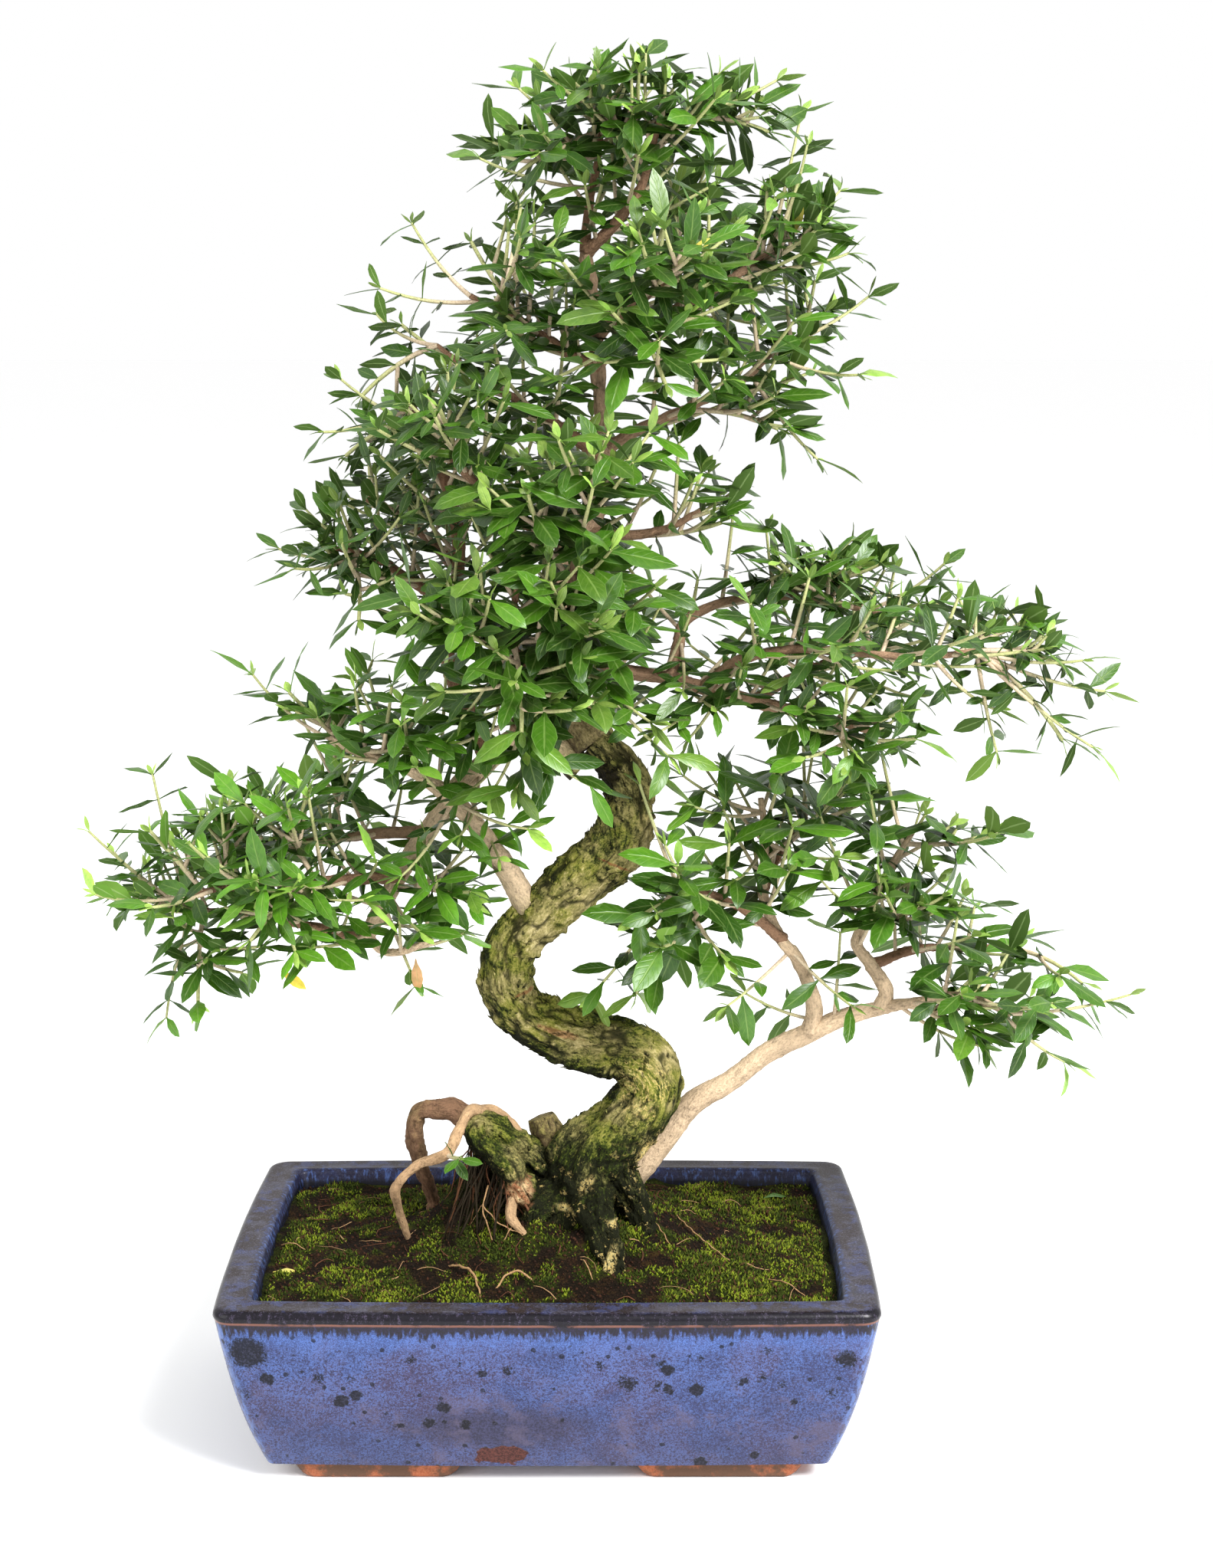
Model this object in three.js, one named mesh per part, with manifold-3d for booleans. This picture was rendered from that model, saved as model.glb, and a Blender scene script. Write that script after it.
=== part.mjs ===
// Serissa bonsai: an old twisting trunk with pads of small leaves, in a glazed rectangular pot.
// Millimetres, +Z up, the front towards -Y. It is laid out about the middle of the pot, with the
// feet at zero height, and at the end it is moved so that the middle of its footprint is the origin.
import * as THREE from 'three';
import { mergeVertices } from 'three/addons/utils/BufferGeometryUtils.js';
import Module from 'manifold-3d';

const wasm = await Module();
wasm.setup();

// Driving dimensions of the pot
const POT_WIDTH = 260;
const POT_DEPTH = 182;
const POT_HEIGHT = 78.4;
const RIM_WIDTH = 14.6;
const RIM_ROUNDING = 2.4;
const FOOT_HEIGHT = 7.8;
const SIDE_TAPER = 18.4;
const SIDE_BOW = 2;
const CORNER_RADIUS = 8;
const FLOOR_TOP = 17;
const INNER_TAPER = 10;
const DRAIN_RADIUS = 8;
const DRAIN_OFFSET = 55;

// The four feet are bars along the front and back edges
const FOOT = { length: 72, endSlope: 6, width: 24, fromSide: 26, fromFront: 22.4, sunk: 1.2 };

// Drain mesh: a square of plastic with square openings
const DRAIN_MESH = { side: 30, thickness: 1, openings: 3, opening: 7 };

// Soil: its level at the walls, and the mound that it makes round the trunk
const SOIL_LEVEL = 71.5;
const MOUND = { height: 17, x: 2, y: 0, spreadX: 62, spreadY: 50 };
const HUMMOCK_HEIGHT = 1.6;

// Clearances between neighbouring solids
const SEAT_GAP = 0.3;
const WOOD_IN_SOIL_GAP = 0.45;

// Leaves and twigs at their real size
const LEAF = {
  length: 21,
  slimness: 0.35,
  thickness: 0.8,
  droop: 0.24,
  spread: 1,
  neck: 0.9,
  outline: [[0.36, 1], [0.7, 0.76]],
};
const PAIR_SPACING = 12;
const TWIG = { baseRadius: 1.15, tipRadius: 0.8 };
const SHOOT = { length: 30, baseRadius: 0.95, tipRadius: 0.75, first: 0.3, spacing: 0.07 };
const SHORTEST_TWIG = 38;
const GOLDEN_ANGLE = 2.39996;

// Clearances that a new stem or leaf keeps, and the ways that a twig tries to get past what is there
const STEM_MARGIN = 0.35;
const LEAF_MARGIN = 0.4;
const ROOT_CHOICES = 8;
const SWINGS = [0, 0.1, -0.1, 0.2, -0.2];

// Wood: how finely its tubes are stepped, and the place in the trunk's points where it gets slender
const TRUNK_STEP = 13;
const TRUNK_SIDES = 11;
const TRUNK_FORK = 20;
const LIMB_STEP = 18;

// The trunk and limbs follow smooth curves through points [x, y, z, radius]
const TRUNK = [
  [7, 0, 62, 18.5], [8, 0, 80, 19.5], [13, 0, 98, 18.5], [18, -2, 114, 17.5], [30, -5, 128, 15.5],
  [40, -6, 140, 14], [39, -4, 151, 13.3], [30, 0, 157, 12.4], [17, 2, 159, 11.8], [0, 4, 164, 11.6],
  [-13, 6, 173, 11.8], [-18, 6, 186, 12], [-15, 6, 200, 11.8], [-6, 4, 211, 11.6], [5, 2, 222, 11.8],
  [18, 0, 234, 12.2], [27, -3, 245, 12.4], [31, -4, 259, 11], [31, -4, 268, 9.8], [27, -2, 276, 8.8],
  [18, 0, 285, 8.4], [10, 3, 297, 7.2], [6, 4, 313, 6], [3, 4, 332, 5.4], [2, 4, 347, 5.2],
  [7, 3, 362, 4.6], [15, 2, 371, 4.2], [20, 1, 383, 3.8], [22, 0, 399, 3.4], [21, -1, 417, 3.2],
  [19, -2, 444, 3], [17, -1, 463, 3], [15, 0, 480, 2.6],
];

const LIMBS = {
  leader: [[15, 0, 480, 2.4], [27, -6, 491, 2], [37, -12, 506, 1.7], [43, -16, 528, 1.3]],
  top_left: [[15, 0, 480, 2.2], [16, 4, 497, 1.7], [20, 6, 518, 1.4], [21, 4, 534, 1.1]],
  crown_right: [[20, -2, 438, 2.4], [40, -12, 453, 2], [64, -16, 465, 1.7], [85, -14, 479, 1.3]],
  crown_low: [
    [23, 0, 404, 2.4], [37, -8, 412, 2.1], [57, -12, 421, 1.8], [75, -12, 430, 1.4], [91, -8, 444, 1.1],
  ],
  crown_back: [[18, -1, 453, 2.4], [32, 24, 459, 2], [51, 42, 472, 1.6], [57, 54, 487, 1.2]],
  crown_left: [[20, -2, 435, 2.2], [4, -6, 444, 1.9], [-13, -8, 455, 1.6], [-30, -8, 463, 1.2]],
  crown_front: [[19, -2, 447, 2.2], [26, -22, 453, 1.8], [37, -40, 462, 1.5], [45, -50, 467, 1.2]],
  riser: [
    [-24, 0, 279, 4], [-33, 4, 297, 3.8], [-41, 8, 320, 3.6], [-40, 10, 336, 3.3], [-37, 10, 354, 2.9],
    [-37, 8, 371, 2.6], [-41, 4, 390, 2.2], [-47, 0, 407, 1.8], [-53, 0, 420, 1.4],
  ],
  upper_left_front: [
    [15, 2, 371, 2.6], [-5, -12, 373, 2.3], [-21, -26, 386, 1.9], [-33, -38, 398, 1.6],
    [-44, -44, 407, 1.3],
  ],
  upper_left_high: [
    [22, 0, 399, 2.4], [6, -8, 412, 2.1], [-10, -12, 422, 1.8], [-28, -12, 433, 1.5], [-43, -8, 444, 1.2],
  ],
  upper_left_back: [[-37, 10, 354, 2.4], [-50, 30, 365, 2], [-64, 48, 374, 1.6], [-77, 56, 380, 1.3]],
  upper_left_low: [[-39, 9, 340, 2.4], [-54, 4, 350, 2], [-69, 2, 360, 1.6], [-85, 2, 364, 1.3]],
  first_left: [
    [-7, 4, 209, 5], [-12, 0, 223, 4.8], [-19, -6, 237, 4.6], [-26, -10, 248, 4.3], [-34, -14, 260, 3.8],
    [-44, -18, 270, 3.2], [-56, -22, 279, 2.7], [-72, -22, 284, 2.2], [-87, -18, 290, 1.6],
  ],
  second_left: [
    [12, 0, 275, 5], [-1, 0, 286, 4.7], [-14, 0, 287, 4.5], [-24, 0, 279, 4.5], [-37, 2, 267, 4.6],
    [-50, 4, 248, 4], [-62, 4, 230, 3.6], [-76, 4, 204, 3.2],
  ],
  left_back: [
    [-50, 4, 248, 2.8], [-69, 16, 245, 2.4], [-90, 30, 240, 2], [-111, 40, 236, 1.6],
    [-131, 44, 233, 1.2],
  ],
  left_front: [
    [-62, 4, 230, 2.8], [-79, -14, 232, 2.4], [-100, -26, 234, 2], [-120, -30, 233, 1.6],
    [-142, -26, 229, 1.2],
  ],
  left_end: [
    [-76, 4, 204, 2.6], [-91, 2, 207, 2.2], [-110, 4, 211, 1.8], [-129, 6, 214, 1.5], [-148, 6, 214, 1.1],
  ],
  left_loop: [[-76, 4, 204, 2], [-67, 0, 198, 1.6], [-56, -4, 201, 1.5], [-47, -8, 207, 1.2]],
  front_up: [
    [3, 4, 332, 2.6], [-3, -20, 325, 2.3], [-10, -40, 324, 2], [-13, -54, 336, 1.6], [-11, -60, 354, 1.3],
  ],
  front_mid: [
    [6, 4, 313, 2.6], [13, -20, 319, 2.2], [11, -44, 334, 1.9], [10, -58, 356, 1.6], [13, -64, 377, 1.2],
  ],
  front_low: [[9, 3, 299, 2.6], [-1, -18, 308, 2.2], [-9, -38, 305, 1.8], [-13, -50, 299, 1.4]],
  centre_right: [[15, 2, 371, 2.4], [30, -8, 370, 2.1], [46, -14, 373, 1.7], [60, -14, 380, 1.3]],
  right_upper: [
    [9, 4, 316, 4], [27, -2, 315, 3.2], [48, -6, 313, 2.9], [62, -8, 309, 2.8], [87, -12, 303, 2.5],
    [109, -14, 298, 2.1], [129, -16, 293, 1.5],
  ],
  right_riser: [
    [48, -6, 313, 2.6], [52, 2, 324, 2.4], [55, 8, 334, 2.2], [69, 12, 341, 2], [89, 14, 344, 1.7],
    [113, 14, 341, 1.4], [134, 10, 337, 1.1],
  ],
  right_front: [
    [62, -8, 309, 2.6], [75, -22, 322, 2.3], [96, -34, 328, 2], [119, -38, 327, 1.6], [145, -34, 325, 1.3],
    [168, -26, 326, 1.1],
  ],
  right_back: [[81, -11, 304, 2.4], [98, 12, 310, 2.1], [118, 34, 315, 1.7], [142, 48, 318, 1.3]],
  low_right: [
    [26, 0, 94, 6.5], [39, 0, 110, 6.2], [46, 0, 118, 5.6], [59, 0, 134, 5], [75, 0, 144, 4.7],
    [90, 0, 156, 4.4], [107, 0, 164, 4], [120, 0, 170, 3.5], [136, -2, 175, 3.1], [151, -6, 179, 2.2],
    [168, -12, 183, 1.7], [188, -14, 176, 1.2],
  ],
  low_right_inner: [
    [107, 0, 164, 3.4], [109, 0, 174, 3.2], [107, 0, 183, 3], [101, 0, 196, 2.8], [94, 0, 205, 2.6],
    [87, 2, 223, 2.1], [88, 4, 244, 1.7], [86, 4, 262, 1.3],
  ],
  low_right_outer: [
    [136, -2, 175, 3], [138, -2, 183, 2.9], [132, 0, 193, 2.7], [126, 2, 202, 2.5], [131, 4, 215, 2],
    [140, 4, 234, 1.6], [148, 2, 248, 1.2],
  ],
  mid_right_front: [[95, 0, 204, 2.2], [80, -16, 219, 1.9], [64, -26, 229, 1.6], [50, -30, 232, 1.2]],
  mid_right_back: [[87, 2, 223, 2], [96, 24, 236, 1.7], [112, 40, 246, 1.3]],
  low_right_back: [[132, 0, 193, 2.2], [152, 14, 196, 1.9], [174, 22, 195, 1.5], [193, 22, 195, 1.1]],
  back_low: [[18, 0, 285, 2.8], [16, 30, 293, 2.4], [10, 52, 303, 2], [0, 66, 318, 1.5]],
  back_high: [[7, 3, 362, 2.4], [13, 28, 370, 2], [16, 50, 384, 1.6], [13, 64, 399, 1.2]],
};

// Surface roots, the last ones ending below the soil, and the stump of a cut branch
const ROOTS = {
  brown_arch: [
    [-20, 0, 104, 5], [-37, 6, 126, 4.4], [-48, 10, 128, 4.3], [-56, 12, 126, 4.3], [-58, 14, 116, 4],
    [-56, 20, 100, 3.6], [-52, 30, 82, 3.2], [-51, 31, 70, 2.8],
  ],
  pale_front: [
    [-25, 2, 128, 2], [-33, -8, 133, 2], [-38, -18, 127, 2.1], [-42, -24, 120, 2.1], [-54, -24, 115, 2.2],
    [-63, -22, 105, 2.2], [-63, -14, 93, 2], [-60, -8, 79, 1.8], [-59, -6, 70, 1.6],
  ],
  thin_top: [[-38, 5, 126, 1.8], [-25, 0, 131, 1.8], [-16, -2, 125, 1.7], [-10, -2, 113, 1.6]],
  mossy_left: [
    [-4, 0, 106, 7], [-20, -5, 122, 5.2], [-30, -7, 127, 4.8], [-29, -11, 121, 5.6], [-19, -16, 114, 6.2],
    [-14, -16, 104, 6], [-9, -12, 93, 5], [-7, -12, 80, 4],
  ],
  knob: [[4, 3, 106, 7.5], [-1, 5, 118, 6.5], [-4, 6, 126, 5.6]],
  front_foot: [
    [13, 0, 100, 12], [17, -16, 96, 8.5], [21, -32, 89, 6.2], [25, -42, 80, 4.4], [27, -46, 70, 3.6],
  ],
  right_foot: [[22, 0, 104, 11], [30, -8, 101, 7.5], [35, -10, 94, 5.5], [38, -12, 76, 4.5]],
  left_foot: [[6, 0, 94, 12], [-4, -10, 92, 8], [-9, -18, 84, 5.2], [-11, -22, 70, 3.6]],
  back_foot: [[13, 0, 100, 12], [18, 20, 96, 8], [26, 34, 88, 5], [30, 42, 72, 4]],
  rootlet: [[-15, -17, 102, 2], [-16, -24, 93, 1.6], [-9, -28, 85, 1.4], [-6, -29, 76, 1.2]],
};

// Where each spray of leaves ends, and the limbs that the sprays of its pad grow from
const PADS = {
  crown: {
    leafScale: 0.95,
    limbs: ['leader', 'top_left', 'crown_right', 'crown_low', 'crown_back', 'crown_left', 'crown_front'],
    tips: [
      [21, 0, 541], [49, -20, 528], [86, 5, 526], [105, -5, 490], [112, 10, 458], [90, -15, 412],
      [-12, -5, 509], [54, -65, 479], [45, -55, 430], [57, 60, 510], [75, 70, 447],
    ],
  },
  upper_left: {
    leafScale: 0.85,
    limbs: [
      'crown_left', 'riser', 'upper_left_front', 'upper_left_high', 'upper_left_back', 'upper_left_low',
    ],
    tips: [
      [-30, 0, 484], [-10, -42, 480], [-58, 5, 452], [-74, 0, 424], [-82, 15, 400], [-94, 5, 363],
      [-74, -25, 338], [-39, -65, 422], [-49, 75, 377],
    ],
  },
  front: {
    leafScale: 1.15,
    limbs: ['front_up', 'front_mid', 'front_low'],
    tips: [[18, -70, 405], [-6, -70, 388], [19, -70, 341], [-36, -74, 344], [-9, -70, 301]],
  },
  left: {
    leafScale: 0.95,
    limbs: ['first_left', 'second_left', 'left_back', 'left_front', 'left_end', 'left_loop'],
    tips: [
      [-105, 0, 306], [-90, 40, 285], [-162, -5, 250], [-177, 10, 222], [-130, 5, 268], [-108, -25, 268],
      [-143, -15, 181], [-117, -45, 214], [-127, 55, 224], [-32, -15, 223], [-45, -38, 292],
    ],
  },
  right_upper: {
    leafScale: 0.9,
    limbs: ['centre_right', 'right_upper', 'right_riser', 'right_front', 'right_back'],
    tips: [
      [68, -20, 376], [93, 0, 357], [126, 10, 356], [182, 0, 338], [204, -15, 319], [204, -20, 290],
      [116, -48, 284], [149, 65, 331],
    ],
  },
  right_low: {
    leafScale: 1.05,
    limbs: [
      'low_right_inner', 'low_right_outer', 'mid_right_front', 'mid_right_back', 'low_right_back',
      'low_right',
    ],
    tips: [
      [36, -46, 224], [44, -28, 197], [183, 5, 248], [119, 50, 253], [148, -24, 224], [219, 0, 185],
      [177, -15, 166],
    ],
  },
  back: { leafScale: 1, limbs: ['back_low', 'back_high'], tips: [[12, 80, 337]] },
};
const ROOT_SPROUT = { limb: 'pale_front', tip: [-36, -36, 122], leafLength: 13 };

const COLOURS = {
  glaze: 0x3a4c9a,
  soil: 0x2c2418,
  plastic: 0x1c1f1c,
  bark: 0x7c7446,
  leaf: 0x3f7a2a,
  leafDark: 0x2c5c20,
  leafYellow: 0xc8c64a,
};

// Bodies of geometry, and their joining
function surface(points, triangles) {
  const geometry = new THREE.BufferGeometry();
  geometry.setAttribute('position', new THREE.Float32BufferAttribute(points.flat(), 3));
  geometry.setIndex(triangles.flat());
  return geometry;
}

function toSolid(geometry) {
  const bare = geometry.clone();
  bare.deleteAttribute('normal');
  bare.deleteAttribute('uv');
  const merged = mergeVertices(bare, 1e-4);
  return new wasm.Manifold(new wasm.Mesh({
    numProp: 3,
    vertProperties: new Float32Array(merged.attributes.position.array),
    triVerts: new Uint32Array(merged.index.array),
  }));
}

function toGeometry(solid) {
  const mesh = solid.getMesh();
  const geometry = new THREE.BufferGeometry();
  geometry.setAttribute('position', new THREE.BufferAttribute(new Float32Array(mesh.vertProperties), 3));
  geometry.setIndex(new THREE.BufferAttribute(new Uint32Array(mesh.triVerts), 1));
  geometry.computeVertexNormals();
  return geometry;
}

function union(solids) {
  return solids.reduce((whole, solid) => whole.add(solid));
}

// The biggest of a solid's separate bodies: loose scraps are dropped
function largest(solid) {
  return solid.decompose().reduce((best, body) => (body.volume() > best.volume() ? body : best));
}

// A closed body through rings of points, each ring anticlockwise about the way from the first to
// the last. The first and the last may be a single point
function loft(rings) {
  const count = Math.max(...rings.map((ring) => ring.length));
  const starts = [];
  let total = 0;
  for (const ring of rings) {
    starts.push(total);
    total += ring.length;
  }
  const triangles = [];
  for (let r = 0; r + 1 < rings.length; r += 1) {
    for (let i = 0; i < count; i += 1) {
      const next = (i + 1) % count;
      const [lowA, lowB] = rings[r].length === 1 ? [starts[r], starts[r]] : [starts[r] + i, starts[r] + next];
      const [highA, highB] = rings[r + 1].length === 1
        ? [starts[r + 1], starts[r + 1]]
        : [starts[r + 1] + i, starts[r + 1] + next];
      if (lowA !== lowB) {
        triangles.push([lowA, lowB, highB]);
      }
      if (highA !== highB) {
        triangles.push([lowA, highB, highA]);
      }
    }
  }
  for (let i = 1; i + 1 < rings[0].length; i += 1) {
    triangles.push([0, i + 1, i]);
  }
  const top = starts.at(-1);
  for (let i = 1; i + 1 < rings.at(-1).length; i += 1) {
    triangles.push([top, top + i, top + i + 1]);
  }
  return surface(rings.flat(), triangles);
}

// A rounded rectangle whose sides bow out a little, as a ring at one height
function outline(inset, z) {
  const halfX = POT_WIDTH / 2 - inset;
  const halfY = POT_DEPTH / 2 - inset;
  const radius = Math.max(CORNER_RADIUS - inset * 0.25, 3);
  const arcSteps = 2;
  const ring = [];
  for (let corner = 0; corner < 4; corner += 1) {
    const signX = corner === 0 || corner === 3 ? 1 : -1;
    const signY = corner < 2 ? 1 : -1;
    for (let i = 0; i <= arcSteps; i += 1) {
      const angle = (corner + i / arcSteps) * Math.PI / 2;
      const x = signX * (halfX - radius) + radius * Math.cos(angle);
      const y = signY * (halfY - radius) + radius * Math.sin(angle);
      ring.push([x, y, z]);
    }
    const start = ring.at(-1);
    const along = corner % 2 === 0 ? 0 : 1;
    for (const part of [1 / 3, 2 / 3]) {
      const point = [...start];
      point[along] = start[along] * (1 - 2 * part);
      point[1 - along] += Math.sign(start[1 - along]) * SIDE_BOW * 4 * part * (1 - part);
      ring.push(point);
    }
  }
  return ring;
}

// How far the pot's side stands in at a height: little below the rim, more towards the feet
function sideInset(z) {
  const fall = (POT_HEIGHT - z) / (POT_HEIGHT - FOOT_HEIGHT);
  return SIDE_TAPER * (0.4 * fall + 0.6 * fall ** 3);
}

function innerInset(z) {
  const fall = (POT_HEIGHT - z) / (POT_HEIGHT - FLOOR_TOP);
  return RIM_WIDTH + INNER_TAPER * fall;
}

function buildFoot() {
  const profile = new THREE.Shape();
  const top = FOOT_HEIGHT + FOOT.sunk;
  profile.moveTo(FOOT.endSlope, 0);
  profile.lineTo(FOOT.length - FOOT.endSlope, 0);
  profile.lineTo(FOOT.length, top);
  profile.lineTo(0, top);
  profile.closePath();
  const foot = new THREE.ExtrudeGeometry(profile, { depth: FOOT.width, bevelEnabled: false });
  foot.rotateX(Math.PI / 2);
  foot.translate(-FOOT.length / 2, FOOT.width / 2, 0);
  return foot;
}

function buildPot() {
  const rings = [];
  for (const z of [FOOT_HEIGHT, FOOT_HEIGHT + 9, 30, 50, POT_HEIGHT - RIM_ROUNDING]) {
    rings.push(outline(sideInset(z), z));
  }
  const corner = RIM_ROUNDING * (1 - Math.SQRT1_2);
  rings.push(outline(corner, POT_HEIGHT - corner));
  rings.push(outline(RIM_ROUNDING, POT_HEIGHT));
  rings.push(outline(RIM_WIDTH - RIM_ROUNDING, POT_HEIGHT));
  rings.push(outline(RIM_WIDTH, POT_HEIGHT - RIM_ROUNDING));
  rings.push(outline(innerInset(FLOOR_TOP), FLOOR_TOP));
  const parts = [toSolid(loft(rings))];
  const footX = POT_WIDTH / 2 - FOOT.fromSide - FOOT.length / 2;
  const footY = POT_DEPTH / 2 - FOOT.fromFront - FOOT.width / 2;
  for (const signX of [-1, 1]) {
    for (const signY of [-1, 1]) {
      parts.push(toSolid(buildFoot().translate(signX * footX, signY * footY, 0)));
    }
  }
  const drains = [-1, 1].map((sign) => {
    const drain = new THREE.CylinderGeometry(DRAIN_RADIUS, DRAIN_RADIUS, 2 * FLOOR_TOP, 16);
    drain.rotateX(Math.PI / 2);
    return toSolid(drain.translate(sign * DRAIN_OFFSET, 0, FLOOR_TOP));
  });
  return union(parts).subtract(union(drains));
}

function buildDrainMesh() {
  const { side, thickness, openings, opening } = DRAIN_MESH;
  const sheet = toSolid(new THREE.BoxGeometry(side, side, thickness));
  const pitch = side / openings;
  const holes = [];
  for (let i = 0; i < openings; i += 1) {
    for (let j = 0; j < openings; j += 1) {
      const hole = new THREE.BoxGeometry(opening, opening, 3 * thickness);
      const x = (i + 0.5) * pitch - side / 2;
      const y = (j + 0.5) * pitch - side / 2;
      holes.push(toSolid(hole.translate(x, y, 0)));
    }
  }
  return sheet.subtract(union(holes)).translate([0, 0, FLOOR_TOP + SEAT_GAP + thickness / 2]);
}

function soilHeight(x, y) {
  const fromTop = Math.hypot((x - MOUND.x) / MOUND.spreadX, (y - MOUND.y) / MOUND.spreadY);
  const mound = Math.exp(-(fromTop ** 2));
  const hummocks = Math.sin(x * 0.11 + 1) * Math.sin(y * 0.13) + 0.6 * Math.sin(x * 0.19 - y * 0.16);
  return SOIL_LEVEL + MOUND.height * mound + HUMMOCK_HEIGHT * hummocks * 0.6;
}

// Soil fills the pot to its inner wall, with its underside just above the drain mesh
function buildSoil() {
  const base = FLOOR_TOP + DRAIN_MESH.thickness + 2 * SEAT_GAP;
  const rings = [outline(innerInset(base) + SEAT_GAP, base)];
  const edge = outline(innerInset(SOIL_LEVEL) + SEAT_GAP, SOIL_LEVEL);
  for (const scale of [1, 0.86, 0.7, 0.52, 0.34, 0.15]) {
    rings.push(edge.map(([x, y]) => [x * scale, y * scale, soilHeight(x * scale, y * scale)]));
  }
  return toSolid(loft(rings));
}

// Wood: tubes along smooth curves, with low lobes round the trunk
function centreLine(points) {
  const knots = points.map(([x, y, z]) => new THREE.Vector3(x, y, z));
  return new THREE.CatmullRomCurve3(knots, false, 'catmullrom', 0.5);
}

function radiusAt(points, place) {
  const segment = Math.min(Math.floor(place), points.length - 2);
  const part = place - segment;
  return points[segment][3] * (1 - part) + points[segment + 1][3] * part;
}

// Samples along a limb, about a step apart: the place in its point list, the position and the radius
function walk(points, step) {
  const curve = centreLine(points);
  const last = points.length - 1;
  const pieces = Math.max(2, Math.round(curve.getLength() / step));
  return Array.from({ length: pieces + 1 }, (_, i) => ({
    place: last * i / pieces,
    at: curve.getPoint(i / pieces),
    tangent: curve.getTangent(i / pieces),
    radius: radiusAt(points, last * i / pieces),
  }));
}

// A closed tube round samples; relief(place, angle) scales the radius, extra adds to it
function tube(samples, sides, relief = () => 1, extra = 0) {
  let normal = new THREE.Vector3(1, 0, 0);
  const rings = samples.map(({ place, at, tangent, radius }, index) => {
    normal = normal.clone().addScaledVector(tangent, -normal.dot(tangent));
    if (normal.length() < 0.1) {
      normal.set(0, 1, 0).addScaledVector(tangent, -tangent.y);
    }
    normal.normalize();
    const binormal = tangent.clone().cross(normal);
    const shift = index === 0 ? -extra : index === samples.length - 1 ? extra : 0;
    const ring = [];
    for (let i = 0; i < sides; i += 1) {
      const angle = 2 * Math.PI * i / sides;
      const reach = radius * relief(place, angle) + extra;
      const point = at.clone()
        .addScaledVector(tangent, shift)
        .addScaledVector(normal, reach * Math.cos(angle))
        .addScaledVector(binormal, reach * Math.sin(angle));
      ring.push(point.toArray());
    }
    return ring;
  });
  return toSolid(loft(rings));
}

function trunkRelief(place, angle) {
  return 1
    + 0.06 * Math.sin(2 * angle + 0.9 * place)
    + 0.05 * Math.sin(3 * angle - 0.7 * place + 1)
    + 0.035 * Math.sin(5 * angle + 1.7 * place);
}

function limbRelief(place, angle) {
  return 1 + 0.06 * Math.sin(2 * angle + 1.3 * place) + 0.04 * Math.sin(3 * angle - place);
}

function sidesFor(points) {
  if (points[0][3] > 5.5) {
    return 7;
  }
  return points[0][3] > 3.6 ? 5 : 4;
}

function trunkTubes(extra = 0) {
  const low = walk(TRUNK.slice(0, TRUNK_FORK + 1), TRUNK_STEP);
  const high = walk(TRUNK.slice(TRUNK_FORK), LIMB_STEP);
  return [tube(low, TRUNK_SIDES, trunkRelief, extra), tube(high, 6, limbRelief, extra)];
}

function limbTube(points, extra = 0) {
  return tube(walk(points, LIMB_STEP), sidesFor(points), limbRelief, extra);
}

function buildTree() {
  const limbs = [...Object.values(LIMBS), ...Object.values(ROOTS)];
  return largest(union([...trunkTubes(), ...limbs.map((points) => limbTube(points))]));
}

// The holes in the soil that the trunk and the roots stand in
function woodHoles() {
  const grounded = [...Object.values(ROOTS), LIMBS.low_right];
  return union([
    trunkTubes(WOOD_IN_SOIL_GAP)[0],
    ...grounded.map((points) => limbTube(points, WOOD_IN_SOIL_GAP)),
  ]);
}

// Leafy sprays. Every draw is worked out from the spray's number, so each build is the same
function chance(a, b, c = 0) {
  return Math.abs(Math.sin(a * 12.9898 + b * 78.233 + c * 37.719) * 43758.5453) % 1;
}

const UP = new THREE.Vector3(0, 0, 1);

function across(direction, axis) {
  return direction.clone().addScaledVector(axis, -direction.dot(axis)).normalize();
}

// A unit vector square to a stem, at an angle from the side of the stem that is uppermost
function aroundStem(tangent, angle) {
  const high = across(Math.abs(tangent.z) > 0.95 ? new THREE.Vector3(1, 0, 0) : UP, tangent);
  const aside = new THREE.Vector3().crossVectors(tangent, high);
  return high.multiplyScalar(Math.cos(angle)).addScaledVector(aside, Math.sin(angle));
}

// A stem bent by a knee between its root and its tip
function bentStem(root, knee, tip, baseRadius, tipRadius) {
  const curve = new THREE.QuadraticBezierCurve3(root, knee, tip);
  return { curve, length: curve.getLength(), baseRadius, tipRadius };
}

function stemRadius({ baseRadius, tipRadius }, t) {
  return baseRadius + (tipRadius - baseRadius) * t;
}

function stemProbe(stem, from, pieces, margin) {
  const samples = Array.from({ length: pieces + 1 }, (_, i) => {
    const t = from + (1 - from) * i / pieces;
    return { at: stem.curve.getPoint(t), tangent: stem.curve.getTangent(t), radius: stemRadius(stem, t) };
  });
  return tube(samples, 5, undefined, margin);
}

// Roots of a spray: the samples on its limbs, the nearest first, but those too near for a twig last
function rootsFor(limbs, tip, shortest) {
  const samples = limbs.flatMap((points) => walk(points, 5).slice(3));
  const cost = ({ at }) => at.distanceTo(tip) + 2 * Math.max(0, shortest - at.distanceTo(tip));
  return samples.sort((a, b) => cost(a) - cost(b)).slice(0, ROOT_CHOICES).map(({ at }) => at);
}

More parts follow.
